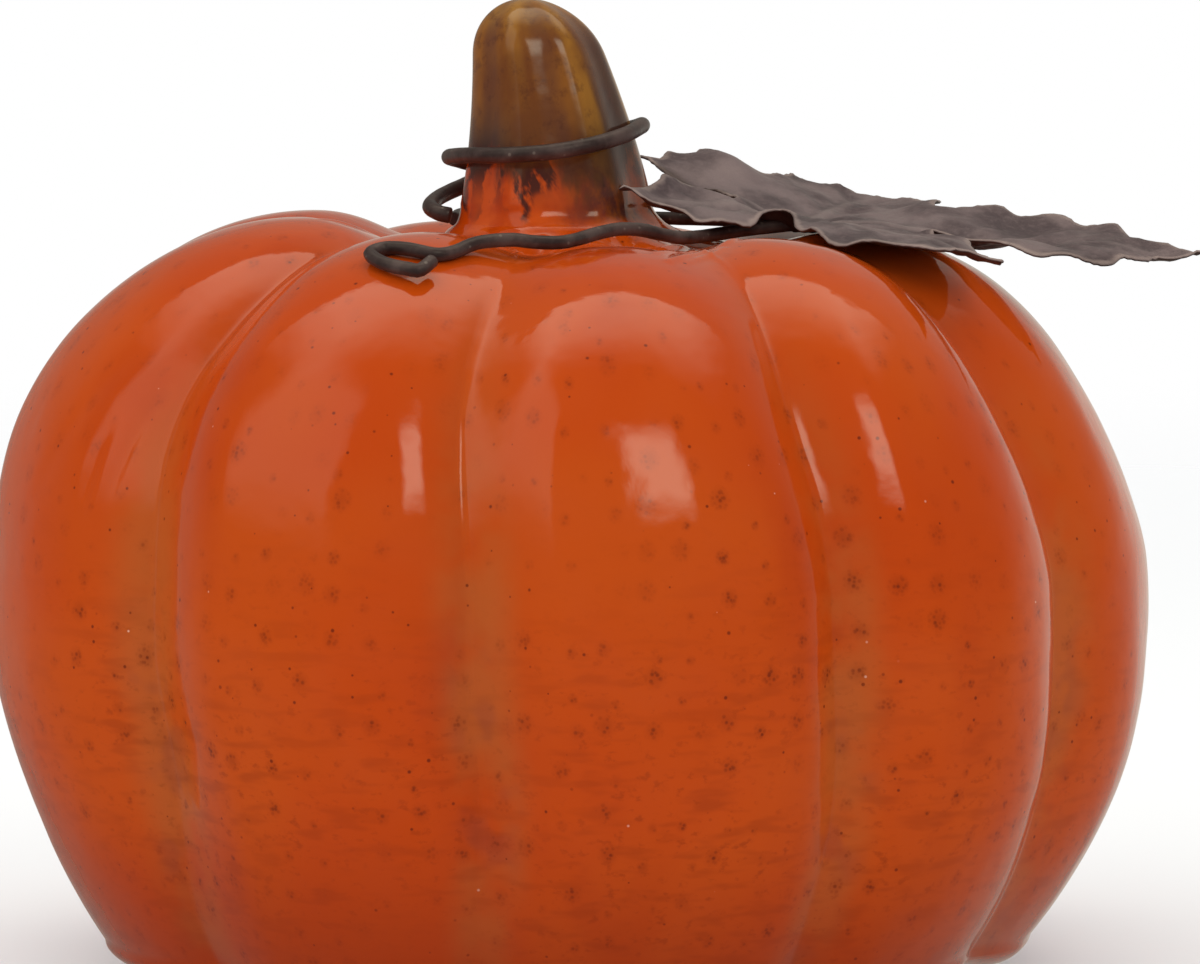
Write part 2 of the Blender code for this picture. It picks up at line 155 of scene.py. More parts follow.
def add_float(obj, name, values):
    attribute = obj.data.attributes.new(name, "FLOAT", "POINT")
    attribute.data.foreach_set("value", np.asarray(values, np.float32).ravel())


# ---------------------------------------------------------------- body
GROOVE_DEPTHS = {"foot": 3.0, "equator": 8.5, "shoulder": 8.0, "crest": 5.0, "dip": 3.6}  # millimetres
RIB_POWER = 2.3
EDGE_POWER = np.array((3.2, 2.9, 2.5, 2.6, 2.4, 2.5, 2.4, 2.5, 2.6))
CREASE_ROUNDING = 0.05
SHOULDER_FROM = np.array((0.30, 0.42, 0.40, 0.30, 0.35, 0.30, 0.38, 0.33, 0.30))
SHOULDER_SHARE = 0.62
SHOULDER_POWER = 2.1


def crease(across, power):
    """Groove share of a rib that curves down to a crisp crease."""
    soft = CREASE_ROUNDING
    raw = np.sqrt((1 - np.abs(across) ** power) ** 2 + soft**2) - soft
    return 1 - raw / (np.sqrt(1 + soft**2) - soft)


def rib_field(angles, top=1.0):
    """For each angle in degrees: which rib, how far across it, and the groove share.

    Low on the body each rib has a wide soft shoulder on its left and a steeper edge on its right.
    """
    wrapped = (angles - VALLEYS[0]) % 360 + VALLEYS[0]
    rib = np.clip(np.searchsorted(VALLEYS, wrapped, side="right") - 1, 0, 8)
    low, high = VALLEYS[rib], VALLEYS[rib + 1]
    across = 2 * (wrapped - low) / (high - low) - 1
    far = np.abs(across)
    shoulder = smoothstep((far - SHOULDER_FROM[rib]) / (1 - SHOULDER_FROM[rib]))
    shoulder = lerp(far**SHOULDER_POWER, shoulder, SHOULDER_SHARE)
    sided = np.where(across < 0, shoulder, crease(across, EDGE_POWER[rib]))
    return rib, across, lerp(sided, crease(across, RIB_POWER), smoothstep(top))


def flank_radius(z):
    fall = np.maximum(0.0, (EQUATOR_Z - z) / (EQUATOR_Z - BASE_Z))
    return EQUATOR_RADIUS - FLANK_DROP * fall**FLANK_POWER


def crest_stations(corner, flank, shoulder, dip):
    """Crest profile, foot to dip: rows of radius, z, groove depth and top share."""
    rows = []
    foot, equator, shoulder_depth, crest, dip_depth = GROOVE_DEPTHS.values()
    edge_radius = flank_radius(CORNER_Z)
    for i in range(corner):
        a = i / corner * math.pi / 2
        rows.append((lerp(FOOT_EDGE_RADIUS, edge_radius, math.sin(a)),
                     lerp(BASE_Z, CORNER_Z, 1 - math.cos(a)), foot * MM, 0.0))
    for i in range(flank):
        t = i / flank
        z = lerp(CORNER_Z, EQUATOR_Z, t)
        rows.append((flank_radius(z), z, lerp(foot * MM, equator * MM, smoothstep(1.4 * t)), 0.0))
    for i in range(shoulder):
        t = i / shoulder
        a = t * math.pi / 2
        depth = lerp(equator, shoulder_depth, min(t, 0.6))
        depth = lerp(depth, crest, smoothstep((t - 0.55) / 0.45))
        rows.append((lerp(CREST_RADIUS, EQUATOR_RADIUS, math.cos(a)),
                     lerp(EQUATOR_Z, CREST_Z, math.sin(a)), depth * MM, math.sin(a) ** 3))
    for i in range(dip + 1):
        t = i / dip
        rows.append((lerp(CREST_RADIUS, DIP_RADIUS, t),
                     lerp(CREST_Z, DIP_Z, 0.5 - 0.5 * math.cos(math.pi * t)),
                     lerp(crest, dip_depth, t) * MM, 1 - t * t))
    return np.array(rows)


# The casting leans sideways between two heights: from, to, furthest shift
SAGS = ((78 * MM, 143 * MM, -2.3 * MM), (2 * MM, 62 * MM, 1.2 * MM))
SAG_POWER = 1.4


def sideways_sag(z):
    total = np.zeros_like(z)
    for low, high, shift in SAGS:
        total += shift * np.sin(math.pi * np.clip((z - low) / (high - low), 0, 1)) ** SAG_POWER
    return total


# Dents in the glaze: angle in degrees; z, half width, half length and depth in millimetres;
# and how many degrees it leans for each millimetre up
DENTS = (
    (-50.5, 101, 1.3, 9, 0.55, 0.10),
    (-54.0, 97, 1.6, 8, 0.45, 0.08),
    (-57.0, 112, 3.0, 14, 0.35, 0.25),
)


# Folds of thick glaze round the dip, in plan about the axis: from, to, half width, height, all in millimetres
FOLDS = (
    ((19, -62), (27, -44), 0.9, 0.75),
    ((22, -60), (29, -44), 0.7, 0.55),
    ((16.5, -57), (23, -42), 0.8, 0.45),
    ((28, -43), (33, -30), 1.0, 0.5),
    ((-12, -47), (-4, -43), 0.9, 0.6),
    ((-17, -44), (-9, -40), 0.9, 0.5),
    ((-3, -47), (6, -42), 0.9, 0.4),
    ((-44, -22), (-35, -17), 1.0, 0.5),
    ((-20, 46), (-8, 41), 1.0, 0.5),
    ((30, 34), (24, 27), 1.0, 0.5),
)


def fold_heights(points):
    """How much the folds raise each point, in metres; the points are about the pumpkin's axis."""
    plan = points[..., :2] / MM
    total = np.zeros(plan.shape[:-1])
    for start, end, half_width, height in FOLDS:
        distance, share = segment_field(plan, start, end)
        taper = 0.35 + 0.65 * np.sin(math.pi * share)
        total += height * np.exp(-((distance / half_width) ** 2)) * taper
    return total * MM


def body_rings(angles, stations, inset=0.0, groove_scale=1.0, detail=True):
    """Points of the ribbed body, one row per station, in metres about the pumpkin's own axis."""
    r, z, depth, top = (stations[:, k][:, None] for k in range(4))
    dr, dz = np.gradient(stations[:, 0]), np.gradient(stations[:, 1])
    length = np.hypot(dr, dz)
    normal_r, normal_z = (-dz / length)[:, None], (dr / length)[:, None]
    # grooves wander by a fraction of a degree on their way up
    wander = 0.35 * np.sin(z / (17 * MM) + 1.3) + 0.3 * np.sin(z / (9 * MM))
    degrees = np.degrees(angles)[None, :] + (wander if detail else 0.0)
    rib, across, groove = rib_field(degrees, np.broadcast_to(top, (len(top), len(angles))))
    push = inset + depth * groove_scale * groove
    drop = RIB_TOP_DROPS[rib] * top * (1 - across**4)
    radius = r + normal_r * push
    a = np.broadcast_to(angles[None, :], radius.shape)
    x = radius * np.sin(a) + sideways_sag(z)
    y = -radius * np.cos(a)
    height = z + normal_z * push - drop
    return np.stack([x, y, height], axis=-1), groove


def stem_centre_x(z):
    share = np.clip((z - STEM_FOOT_Z) / (STEM_TOP_Z - STEM_FOOT_Z), 0, 1)
    return -STEM_OFFSET * smoothstep((z - DIP_Z) / FILLET_RISE) - STEM_LEAN * share**STEM_LEAN_POWER


STEM_RIDGES = np.array((-82.0, -22.0, 33.0, 91.0, 150.0, 212.0, 278.0))
STEM_LOBE_DEPTH = 0.075


def stem_lobes(degrees):
    """0 on a ridge of the stem and 1 half way to the next one."""
    wrapped = (degrees - STEM_RIDGES[0]) % 360 + STEM_RIDGES[0]
    k = np.clip(np.searchsorted(STEM_RIDGES, wrapped, side="right") - 1, 0, 5)
    across = 2 * (wrapped - STEM_RIDGES[k]) / (STEM_RIDGES[k + 1] - STEM_RIDGES[k]) - 1
    return 0.5 + 0.5 * np.cos(math.pi * across)


def stem_rings(radius, z, angles, lobes):
    """Rings of the stem; radius, z and lobes are columns or plain numbers, angles a row."""
    share = stem_lobes(np.degrees(angles))[None, :]
    rho = radius * (1 - STEM_LOBE_DEPTH * lobes * share)
    x = stem_centre_x(z) + rho * np.sin(angles)[None, :]
    y = -rho * np.cos(angles)[None, :]
    return np.stack([x, y, np.broadcast_to(z, x.shape)], axis=-1)


# Body and stem meet in a quarter-round fillet. Each one's skin runs on a little under the other's.
LAP_TURN = 1.25
LAP_DEPTH = 0.25 * MM


def fillet_rings(turns, angles, groove_depth, lift=0.0):
    """Rings of the fillet; lift moves its surface out from the clay."""
    turns = np.asarray(turns)[:, None]
    lift = np.broadcast_to(lift, turns.shape[:1])[:, None]
    radius = DIP_RADIUS - FILLET_REACH * np.sin(turns) + lift * np.sin(turns)
    z = STEM_FOOT_Z - FILLET_RISE * np.cos(turns) + lift * np.cos(turns)
    points = stem_rings(radius, z, angles, np.sin(turns))
    groove = rib_field(np.degrees(angles))[2][None, :]
    points[..., 2] -= groove_depth * groove
    return points


def circle_ring(radius, z, angles):
    ring = np.stack([radius * np.sin(angles), -radius * np.cos(angles), np.full_like(angles, z)], axis=-1)
    return ring[None]


BODY_ANGLES = 720
# Slow unevenness of a slip casting: height in millimetres, waves per metre, seed
SWELLS = ((0.30, 28, 1), (0.16, 70, 2), (0.05, 160, 3))
SWELLS_FROM, SWELLS_FULL = 4 * MM, 14 * MM
FOLDS_FROM, FOLDS_FULL = 118 * MM, 126 * MM
DENT_RADIUS_MM = 100


def uneven(outer, angles):
    """Swells, dents and folds, added to the rings of the outer surface."""
    outward = outer.copy()
    outward[..., 2] = 0
    outward /= np.linalg.norm(outward, axis=-1, keepdims=True)
    swell = sum(height * noise_at(outer, waves, seed) for height, waves, seed in SWELLS)
    fade = smoothstep((outer[..., 2] - SWELLS_FROM) / (SWELLS_FULL - SWELLS_FROM))
    outer += outward * (swell * MM * fade)[..., None]
    degrees = (np.degrees(angles)[None, :] + 180) % 360 - 180
    for angle, z, half_width, half_length, depth, lean in DENTS:
        dz = (outer[..., 2] - z * MM) / MM
        across_mm = np.radians(degrees - angle - lean * dz) * DENT_RADIUS_MM
        dent = depth * MM * np.exp(-((across_mm / half_width) ** 2) - (dz / half_length) ** 2)
        outer -= outward * dent[..., None]
    high_up = smoothstep((outer[..., 2] - FOLDS_FROM) / (FOLDS_FULL - FOLDS_FROM))
    outer[..., 2] += fold_heights(outer) * high_up


def build_body():
    angles = np.radians(np.arange(BODY_ANGLES) * 360 / BODY_ANGLES)
    stations = crest_stations(corner=12, flank=56, shoulder=96, dip=30)
    outer, groove = body_rings(angles, stations)
    uneven(outer, angles)
    # the glaze runs on over the seam: the body's surface slips under the stem's a little above it
    dip_groove = GROOVE_DEPTHS["dip"] * MM
    turns = np.linspace(0, LAP_TURN, 20)[1:]
    sink = LAP_DEPTH * smoothstep((turns - SEAM_ANGLE) / (LAP_TURN - SEAM_ANGLE))
    fillet = fillet_rings(turns, angles, dip_groove * (1 - np.clip(turns / SEAM_ANGLE, 0, 1))[:, None], -sink)
    seat_z = fillet[-1, 0, 2]
    ceiling_z = DIP_Z - WALL - dip_groove
    inner = crest_stations(corner=2, flank=8, shoulder=12, dip=4)[3:]  # the rows above the floor inside
    inner_rings = body_rings(angles, inner, inset=WALL, groove_scale=0.9, detail=False)[0][::-1]
    floor_z = BASE_Z + FOOT_RECESS + WALL
    under = [
        circle_ring(VENT_RADIUS + 0.6 * MM, BASE_Z + FOOT_RECESS, angles),
        circle_ring(FOOT_INNER_RADIUS - 3.2 * MM, BASE_Z + FOOT_RECESS, angles),
        circle_ring(FOOT_INNER_RADIUS - 1.2 * MM, BASE_Z + 0.4 * MM, angles),
        circle_ring(FOOT_INNER_RADIUS + 0.8 * MM, BASE_Z, angles),
    ]
    top = [circle_ring(THROAT_RADIUS, seat_z, angles), circle_ring(THROAT_RADIUS, ceiling_z, angles)]
    tail = [
        circle_ring(FOOT_EDGE_RADIUS - 2 * WALL, floor_z, angles),
        circle_ring(VENT_RADIUS, floor_z, angles),
        circle_ring(VENT_RADIUS, BASE_Z + FOOT_RECESS + 0.6 * MM, angles),
    ]
    rings = np.concatenate(under + [outer, fillet] + top + [inner_rings] + tail)
    count = len(rings)
    points = rings.reshape(-1, 3) + AXIS
    obj = mesh_object("glazed_body", points, ring_faces(count, BODY_ANGLES, closed_along=True))
    valley = np.zeros(rings.shape[:2])
    valley[len(under):len(under) + len(outer)] = groove
    add_float(obj, "valley", valley)
    glazed = np.zeros(rings.shape[:2])
    glazed[len(under):len(under) + len(outer) + len(fillet)] = 1
    add_float(obj, "glazed", glazed)
    return obj


STEM_WALL_SHARE = 0.86


def build_stem():
    count = 288
    angles = np.radians(np.arange(count) * 360 / count)
    turns = np.linspace(SEAM_ANGLE, math.pi / 2, 12)[:-1]
    buried = 1 - smoothstep((turns - SEAM_ANGLE) / (LAP_TURN - SEAM_ANGLE))
    foot = fillet_rings(turns, angles, 0.0, -LAP_DEPTH * buried)
    # stations up the stem, closer together towards its round top
    top_turns = np.linspace(0, math.pi / 2, 28)[1:]
    share = np.concatenate([np.linspace(0, STEM_WALL_SHARE, 60),
                            1 - (1 - STEM_WALL_SHARE) * np.cos(top_turns) ** 2])
    share = share[share < 0.9997]
    z = lerp(STEM_FOOT_Z, STEM_TOP_Z, share)
    dome = np.clip((share - STEM_DOME_FROM) / (1 - STEM_DOME_FROM), 0, 1)
    radius = (DIP_RADIUS - FILLET_REACH - STEM_NARROWING * share) * np.sqrt(1 - dome**STEM_DOME_POWER)
    wall = stem_rings(radius[:, None], z[:, None], angles, 1.0)
    rings = np.concatenate([foot, wall])
    # hidden socket: straight in under the foot, closed by a disc
    inner = circle_ring(THROAT_RADIUS + 0.3 * MM, foot[0, 0, 2] + 0.4 * MM, angles)
    rings = np.concatenate([inner, rings])
    points = rings.reshape(-1, 3)
    apex = np.array([[stem_centre_x(STEM_TOP_Z), 0, STEM_TOP_Z], [0, 0, inner[0, 0, 2]]])
    points = np.concatenate([points, apex]) + AXIS
    tip, base = len(points) - 2, len(points) - 1
    faces = ring_faces(len(rings), count) + end_fans(len(rings), count, base, tip)
    obj = mesh_object("glazed_stem", points, faces)
    ridge = np.broadcast_to(1 - stem_lobes(np.degrees(angles))[None, :], rings.shape[:2]).ravel()
    add_float(obj, "ridge", np.concatenate([ridge, [0.5, 0.5]]))
    return obj


# ---------------------------------------------------------------- wires
TENDRIL_ROUTE = (
    (-20.8, 8, 139.7), (-19.3, 15, 140.3), (-12.5, 22, 140.0), (-2, 24.3, 139.5), (10, 21, 139.5),
    (22, 15, 139.5), (34, 8.5, 139.4), (42, 4.5, 139.3), (45.5, 0, 139.2), (42, -4.5, 139.1),
    (33.5, -10, 138.4), (26, -19, 137.7), (21.6, -28, 137.8), (17.8, -32.5, 138.6),
    (14.2, -35, 139.5), (10.3, -38, 139.8), (6.7, -42, 139.3), (0.4, -52, 138.1), (-4.9, -55, 138.2),
    (-9.4, -57, 138.7), (-15, -60, 138.3), (-19.1, -64, 136.9), (-22.3, -66, 136.5),
    (-27.2, -65, 137.4), (-31.3, -63.2, 137.5), (-34.0, -65.5, 136.6), (-31.4, -69.5, 135.1),
    (-27.3, -72, 134.3), (-25.0, -73, 134.1), (-22.9, -70.6, 135.6),
)
COIL_ROUTE = (
    (11, 23.2, 143.2), (4, 24.3, 144.0), (-5, 22.6, 146.0), (-14, 17.5, 148.8), (-19.8, 8.5, 150.8),
    (-21.4, 0, 151.7), (-17.6, -10.5, 152.3), (-11.8, -16.6, 152.5), (-4.4, -19.6, 153.0),
    (2.1, -18.8, 153.9), (7.0, -16.2, 154.9), (11.6, -11, 156.2), (14.6, 0, 157.6),
    (12.0, 10, 156.6), (5, 17, 154.6), (-4, 19.6, 151.8), (-13, 18, 148.4), (-19.6, 12.6, 145.6),
    (-23.5, 7, 143.9), (-25.1, 0.5, 142.4), (-23.6, -3.4, 141.4), (-21.4, -4.2, 140.9),
)
TENDRIL_RADIUS = 1.25 * MM
COIL_RADIUS = 1.5 * MM
WIRE_STEP = 0.8 * MM
WIRE_SIDES = 24
WIRE_END = ((0.9, 0.14), (0.72, 0.2))  # rings of a rounded end: share of the radius, how far out in radii


def smooth_route(route, step):
    """Evenly spaced points on a Catmull-Rom curve through the route, in metres."""
    knots = np.array(route, float) * MM
    knots = np.concatenate([[2 * knots[0] - knots[1]], knots, [2 * knots[-1] - knots[-2]]])
    t = np.arange(32)[:, None] / 32
    fine = []
    for a, b, c, d in zip(knots, knots[1:], knots[2:], knots[3:]):
        fine.append(0.5 * (2 * b + (c - a) * t + (2 * a - 5 * b + 4 * c - d) * t**2
                           + (3 * b - a - 3 * c + d) * t**3))
    fine = np.concatenate(fine + [knots[-2][None]])
    run = run_along(fine)
    wanted = np.linspace(0, run[-1], int(round(run[-1] / step)) + 1)
    return np.stack([np.interp(wanted, run, fine[:, k]) for k in range(3)], axis=-1)


def build_wire(name, route, radius, seed):
    """A bent wire, a little uneven, with cut ends that are slightly rounded off."""
    path = smooth_route(route, WIRE_STEP)
    count = WIRE_SIDES
    tangents = np.gradient(path, axis=0)
    tangents /= np.linalg.norm(tangents, axis=1, keepdims=True)
    normal = np.cross(tangents[0], (0.0, 0.0, 1.0))
    normal /= np.linalg.norm(normal)
    rings = []
    turns = np.arange(count) * 2 * math.pi / count
    for place, tangent in zip(path, tangents):
        normal = normal - tangent * normal.dot(tangent)
        normal /= np.linalg.norm(normal)
        side = np.cross(tangent, normal)
        rings.append(place + radius * (np.cos(turns)[:, None] * normal + np.sin(turns)[:, None] * side))
    rings = np.array(rings)
    centre = path[:, None, :]
    waviness = 0.035 * noise_at(rings, 420, seed) + 0.025 * noise_at(rings, 160, seed + 1)
    rings = centre + (rings - centre) * (1 + waviness[..., None])
    ends = ((rings[0], path[0], -tangents[0]), (rings[-1], path[-1], tangents[-1]))
    start, end = ([middle + (ring - middle) * share + outward * radius * rise for share, rise in WIRE_END]
                  for ring, middle, outward in ends)
    rings = np.concatenate([np.array(start[::-1]), rings, np.array(end)])
    tips = [middle + outward * radius * WIRE_END[-1][1] for _, middle, outward in ends]
    points = np.concatenate([rings.reshape(-1, 3), tips]) + AXIS
    faces = ring_faces(len(rings), count) + end_fans(len(rings), count, len(points) - 2, len(points) - 1)
    obj = mesh_object(name, points, faces)
    run = run_along(path)
    along = np.concatenate([[0, 0], run, [run[-1], run[-1]]])
    along = np.repeat(along, count)
    add_float(obj, "along", np.concatenate([along, [0, run[-1]]]))
    return obj


# ---------------------------------------------------------------- leaf
LEAF_CENTRE = np.array((43.4, -0.5, 141.5))
LEAF_THICKNESS = 0.8
LEAF_LOBES = (  # tip, the notch after it anticlockwise, and pairs of side veins
    ((76, -5), (27, 17), 7),
    ((17, 42), (-5, 30), 5),
    ((-29, 20), (-11, 1), 3),
    ((-33, -19), (-3, -8), 3),
    ((36, -45), (25, -9), 7),
)


def leaf_height(u, v):
    """Height of the sheet's middle over its plan, in millimetres, without veins and ripples."""
    height = -0.105 * u + 0.06 * v + 0.0003 * v * v
    height = height + 0.04 * (v + 0.066 * u) * smoothstep((u - 20) / 20)
    # the end at the stem climbs, and a hump stands at the back
    height = height + 4.7 * np.minimum(1.3, np.maximum(0.0, -u - 4) / 28) ** 1.3
    height = height + 4.2 * np.exp(-(((u + 9) / 12) ** 2) - ((v - 30) / 13) ** 2)
    # the lobe at the front left is tipped to show its face, and the one behind it stands clear
    height = height + 0.22 * (v + 6 - 0.12 * u) * smoothstep((-u - 2) / 14) * smoothstep((1 - v) / 8)
    height = height + 1.5 * smoothstep((-u - 5) / 10) * smoothstep((v - 1) / 6)
    # the notch between the long lobe and the back one is lifted
    return height + 2.0 * np.exp(-(((u - 28) / 9) ** 2) - ((v - 17) / 7) ** 2)


# Teeth of each lobe: on the side that climbs from the notch before it, then on the side after its tip.
# Each is the share of the way from notch to tip, and its size in millimetres.
LEAF_TEETH = (
    (((0.34, 0.9), (0.62, 2.4), (0.76, 2.2), (0.90, 1.4)),
     ((0.20, 2.0), (0.42, 1.2), (0.64, 2.2), (0.85, 1.1))),
    (((0.36, 1.0), (0.70, 1.0)), ((0.40, 1.4), (0.75, 1.4))),
    (((0.40, 1.4), (0.74, 1.5)), ((0.40, 0.9),)),
    (((0.50, 0.9),), ((0.30, 1.3), (0.62, 1.7), (0.86, 1.1))),
    (((0.24, 1.6), (0.50, 1.9), (0.78, 1.5)), ((0.34, 0.8), (0.68, 0.7))),
)
# How far the margin rolls up on those two sides, in millimetres
LEAF_ROLLS = ((-1.0, 1.2), (0.5, 0.7), (0.5, -2.6), (1.0, -0.9), (-0.9, -0.6))
# How far each side bulges beyond its straight chord, as a share of the chord's length
LEAF_FULLNESS = ((0.20, 0.16), (0.18, 0.22), (0.20, 0.04), (0.13, 0.24), (0.22, 0.06))
GUTTER_DEPTH = 1.5
GUTTER_HALF_WIDTH = 6.5
TOOTH_RISE = 0.17
TOOTH_FALL = 0.08
TOOTH_BEND = 0.6
OUTLINE_STEP = 0.7
PLAN_STEP = 1.0
MARGIN_WIDTH = 3.4


def leaf_outline():
    """The toothed edge, anticlockwise: plan points, how far each is out on a tooth, its margin's roll."""
    outline, teeth_out, rolls = [], [], []
    for index, (tip, notch, _) in enumerate(LEAF_LOBES):
        before = np.array(LEAF_LOBES[index - 1][1], float)
        tip, notch = np.array(tip, float), np.array(notch, float)
        for start, end, rising in ((before, tip, True), (tip, notch, False)):
            teeth, roll = LEAF_TEETH[index][not rising], LEAF_ROLLS[index][not rising]
            fullness = LEAF_FULLNESS[index][not rising]
            chord = end - start
            length = np.hypot(*chord)
            outward = np.array((chord[1], -chord[0])) / length
            steps = max(8, int(length / OUTLINE_STEP))
            for k in range(steps):
                t = k / steps
                near_tip = t if rising else 1 - t
                swell = math.sin(math.pi * near_tip**0.85) ** 2 * (1.2 - 0.3 * near_tip)
                tooth = 0.0
                for place, size in teeth:
                    reach = TOOTH_RISE if near_tip < place else TOOTH_FALL
                    tooth = max(tooth, size * smoothstep(1 - abs(near_tip - place) / reach))
                middle = math.sin(math.pi * t)
                bulge = fullness * length * swell + tooth - 0.7 * middle
                outline.append(start + chord * t + outward * bulge)
                teeth_out.append(tooth)
                rolls.append(roll * middle)
    return np.array(outline), np.array(teeth_out), np.array(rolls)


def inside_distance(points, outline):
    """Distance to the outline, negative outside it, and the nearest outline point, for each plan point."""
    a, b = outline, np.roll(outline, -1, axis=0)
    side = b - a
    rel = points[:, None, :] - a[None]
    share = np.clip((rel * side[None]).sum(-1) / (side**2).sum(-1)[None], 0, 1)
    distances = np.linalg.norm(rel - side[None] * share[..., None], axis=-1)
    nearest = distances.argmin(axis=1)
    distance = distances.min(axis=1)
    above = (a[None, :, 1] > points[:, None, 1]) != (b[None, :, 1] > points[:, None, 1])
    with np.errstate(divide="ignore", invalid="ignore"):
        cross = a[None, :, 0] + side[None, :, 0] * (points[:, None, 1] - a[None, :, 1]) / side[None, :, 1]
    inside = (above & (cross > points[:, None, 0])).sum(axis=1) % 2 == 1
    return np.where(inside, distance, -distance), nearest


MAIN_VEIN = (1.9, 1.15)
SIDE_VEIN = (1.3, 0.6)


def vein_lines():
    """Veins in plan: start, end, half width and height in millimetres."""
    veins = []
    for tip, _, pairs in LEAF_LOBES:
        tip = np.array(tip, float)
        length = np.hypot(*tip)
        veins.append((np.zeros(2), tip * 0.93, *MAIN_VEIN))
        along = tip / length
        across = np.array((-along[1], along[0]))
        for k in range(1, pairs + 1):
            start = tip * k / (pairs + 1)
            reach = 0.36 * length * (1 - 0.62 * k / (pairs + 1))
            for sign in (-1, 1):
                veins.append((start, start + reach * (0.75 * along + sign * 0.66 * across), *SIDE_VEIN))
    return veins


def leaf_plan(outline):
    """The leaf's plan filled with an even net of triangles; the outline's points come first."""
    low, high = outline.min(0), outline.max(0)
    grid = []
    for row, v in enumerate(np.arange(low[1], high[1], PLAN_STEP * 0.866)):
        for u in np.arange(low[0] + 0.5 * PLAN_STEP * (row % 2), high[0], PLAN_STEP):
            grid.append((u, v))
    grid = np.array(grid)
    grid = grid[inside_distance(grid, outline)[0] > 0.45]
    plan = [Vector(p) for p in outline] + [Vector(p) for p in grid]
    placed, _, faces, _, _, _ = delaunay_2d_cdt(plan, [], [list(range(len(outline)))], 1, 1e-6)
    return np.array([tuple(p) for p in placed]), faces


def leaf_veins(plan):
    """Heights of the veins' ridges, and of the whole pressed relief with its grooves and gutters."""
    ridge = np.zeros(len(plan))
    groove = np.zeros(len(plan))
    for start, end, half_width, rise in vein_lines():
        distance, share = segment_field(plan, start, end)
        rise = rise * (1 - 0.5 * share)
        ridge = np.maximum(ridge, rise * np.exp(-((distance / half_width) ** 2)))
        groove = np.maximum(groove, 0.7 * rise * np.exp(-((distance / (3.2 * half_width)) ** 2)))
    relief = ridge - groove
    for tip, _, _ in LEAF_LOBES:
        distance, share = segment_field(plan, (0, 0), tip)
        gutter = GUTTER_DEPTH * np.exp(-((distance / GUTTER_HALF_WIDTH) ** 2))
        relief = relief - gutter * np.sin(math.pi * np.clip(share, 0.1, 1)) ** 0.7
    return ridge, relief


def leaf_curl(flat, edge, nearest, turn, teeth_out, rolls):
    """Teeth bend up along the back edge and down along the front, and the margin waves between them."""
    facing_back = -turn[:, 0] / np.maximum(np.hypot(turn[:, 0], turn[:, 1]), 1e-9)
    margin = np.exp(-((edge / MARGIN_WIDTH) ** 1.4))
    bend = TOOTH_BEND * (teeth_out - 0.6) * np.clip(2 * facing_back, -1, 1)
    return margin * (bend[nearest] + rolls[nearest] + 1.1 * noise_at(flat, 0.12, 13))


def build_leaf():
    outline, teeth_out, rolls = leaf_outline()
    plan, faces = leaf_plan(outline)
    u, v = plan[:, 0], plan[:, 1]
    edge, nearest = inside_distance(plan, outline)
    edge = np.maximum(edge, 0)
    edge[:len(outline)] = 0
    ridge, relief = leaf_veins(plan)
    flat = np.stack([u, v, np.zeros_like(u)], axis=-1)
    ripple = noise_at(flat, 0.055, 11) * 1.7 + noise_at(flat, 0.13, 12) * 1.0
    turn = np.roll(outline, -1, axis=0) - np.roll(outline, 1, axis=0)
    curl = leaf_curl(flat, edge, nearest, turn, teeth_out, rolls)
    height = leaf_height(u, v) + relief * smoothstep(edge / 2.5) + ripple * smoothstep(edge / 6 + 0.35) + curl
    thickness = LEAF_THICKNESS * (1 - 0.25 * np.exp(-edge / 0.8))
    sheets = []
    for sign in (1, -1):
        z = height + sign * thickness / 2
        sheets.append(np.stack([u, v, z], axis=-1) + LEAF_CENTRE)
    count = len(plan)
    rim = len(outline)
    middle = (sheets[0][:rim] + sheets[1][:rim]) / 2
    outward = np.stack([turn[:, 1], -turn[:, 0], np.zeros(rim)], axis=-1)
    outward /= np.linalg.norm(outward, axis=1, keepdims=True)
    middle += outward * 0.3
    points = np.concatenate([sheets[0], sheets[1], middle]) * MM + AXIS
    all_faces = [tuple(f) for f in faces]
    all_faces += [tuple(count + i for i in reversed(f)) for f in faces]
    for i in range(rim):
        j = (i + 1) % rim
        all_faces.append((i, 2 * count + i, 2 * count + j, j))
        all_faces.append((2 * count + i, count + i, count + j, 2 * count + j))
    obj = mesh_object("metal_leaf", points, all_faces)
    normals = bmesh.new()
    normals.from_mesh(obj.data)
    bmesh.ops.recalc_face_normals(normals, faces=normals.faces)
    normals.to_mesh(obj.data)
    normals.free()
    obj.data.shade_smooth()
    add_float(obj, "edge", np.concatenate([edge, edge, np.zeros(rim)]))
    add_float(obj, "ridge", np.concatenate([ridge, ridge, np.zeros(rim)]))
    # painted shade on margins turned down: how far the underside's dark colour is laid over them
    turned_down_shade = np.exp(-((edge / 4.5) ** 2)) * np.clip(-rolls[nearest] / 2.0, 0, 1)
    add_float(obj, "turned_down_shade", np.concatenate([turned_down_shade, turned_down_shade, turned_down_shade[:rim]]))
    add_float(obj, "top", np.concatenate([np.ones(count), np.zeros(count), np.full(rim, 0.5)]))
    return obj


# ---------------------------------------------------------------- pads
PAD_PROFILE = ((0.5, 0.0), (0.94, 0.0), (0.985, 0.12), (1.0, 0.4), (0.99, 0.8), (0.95, 1.0), (0.5, 1.0))


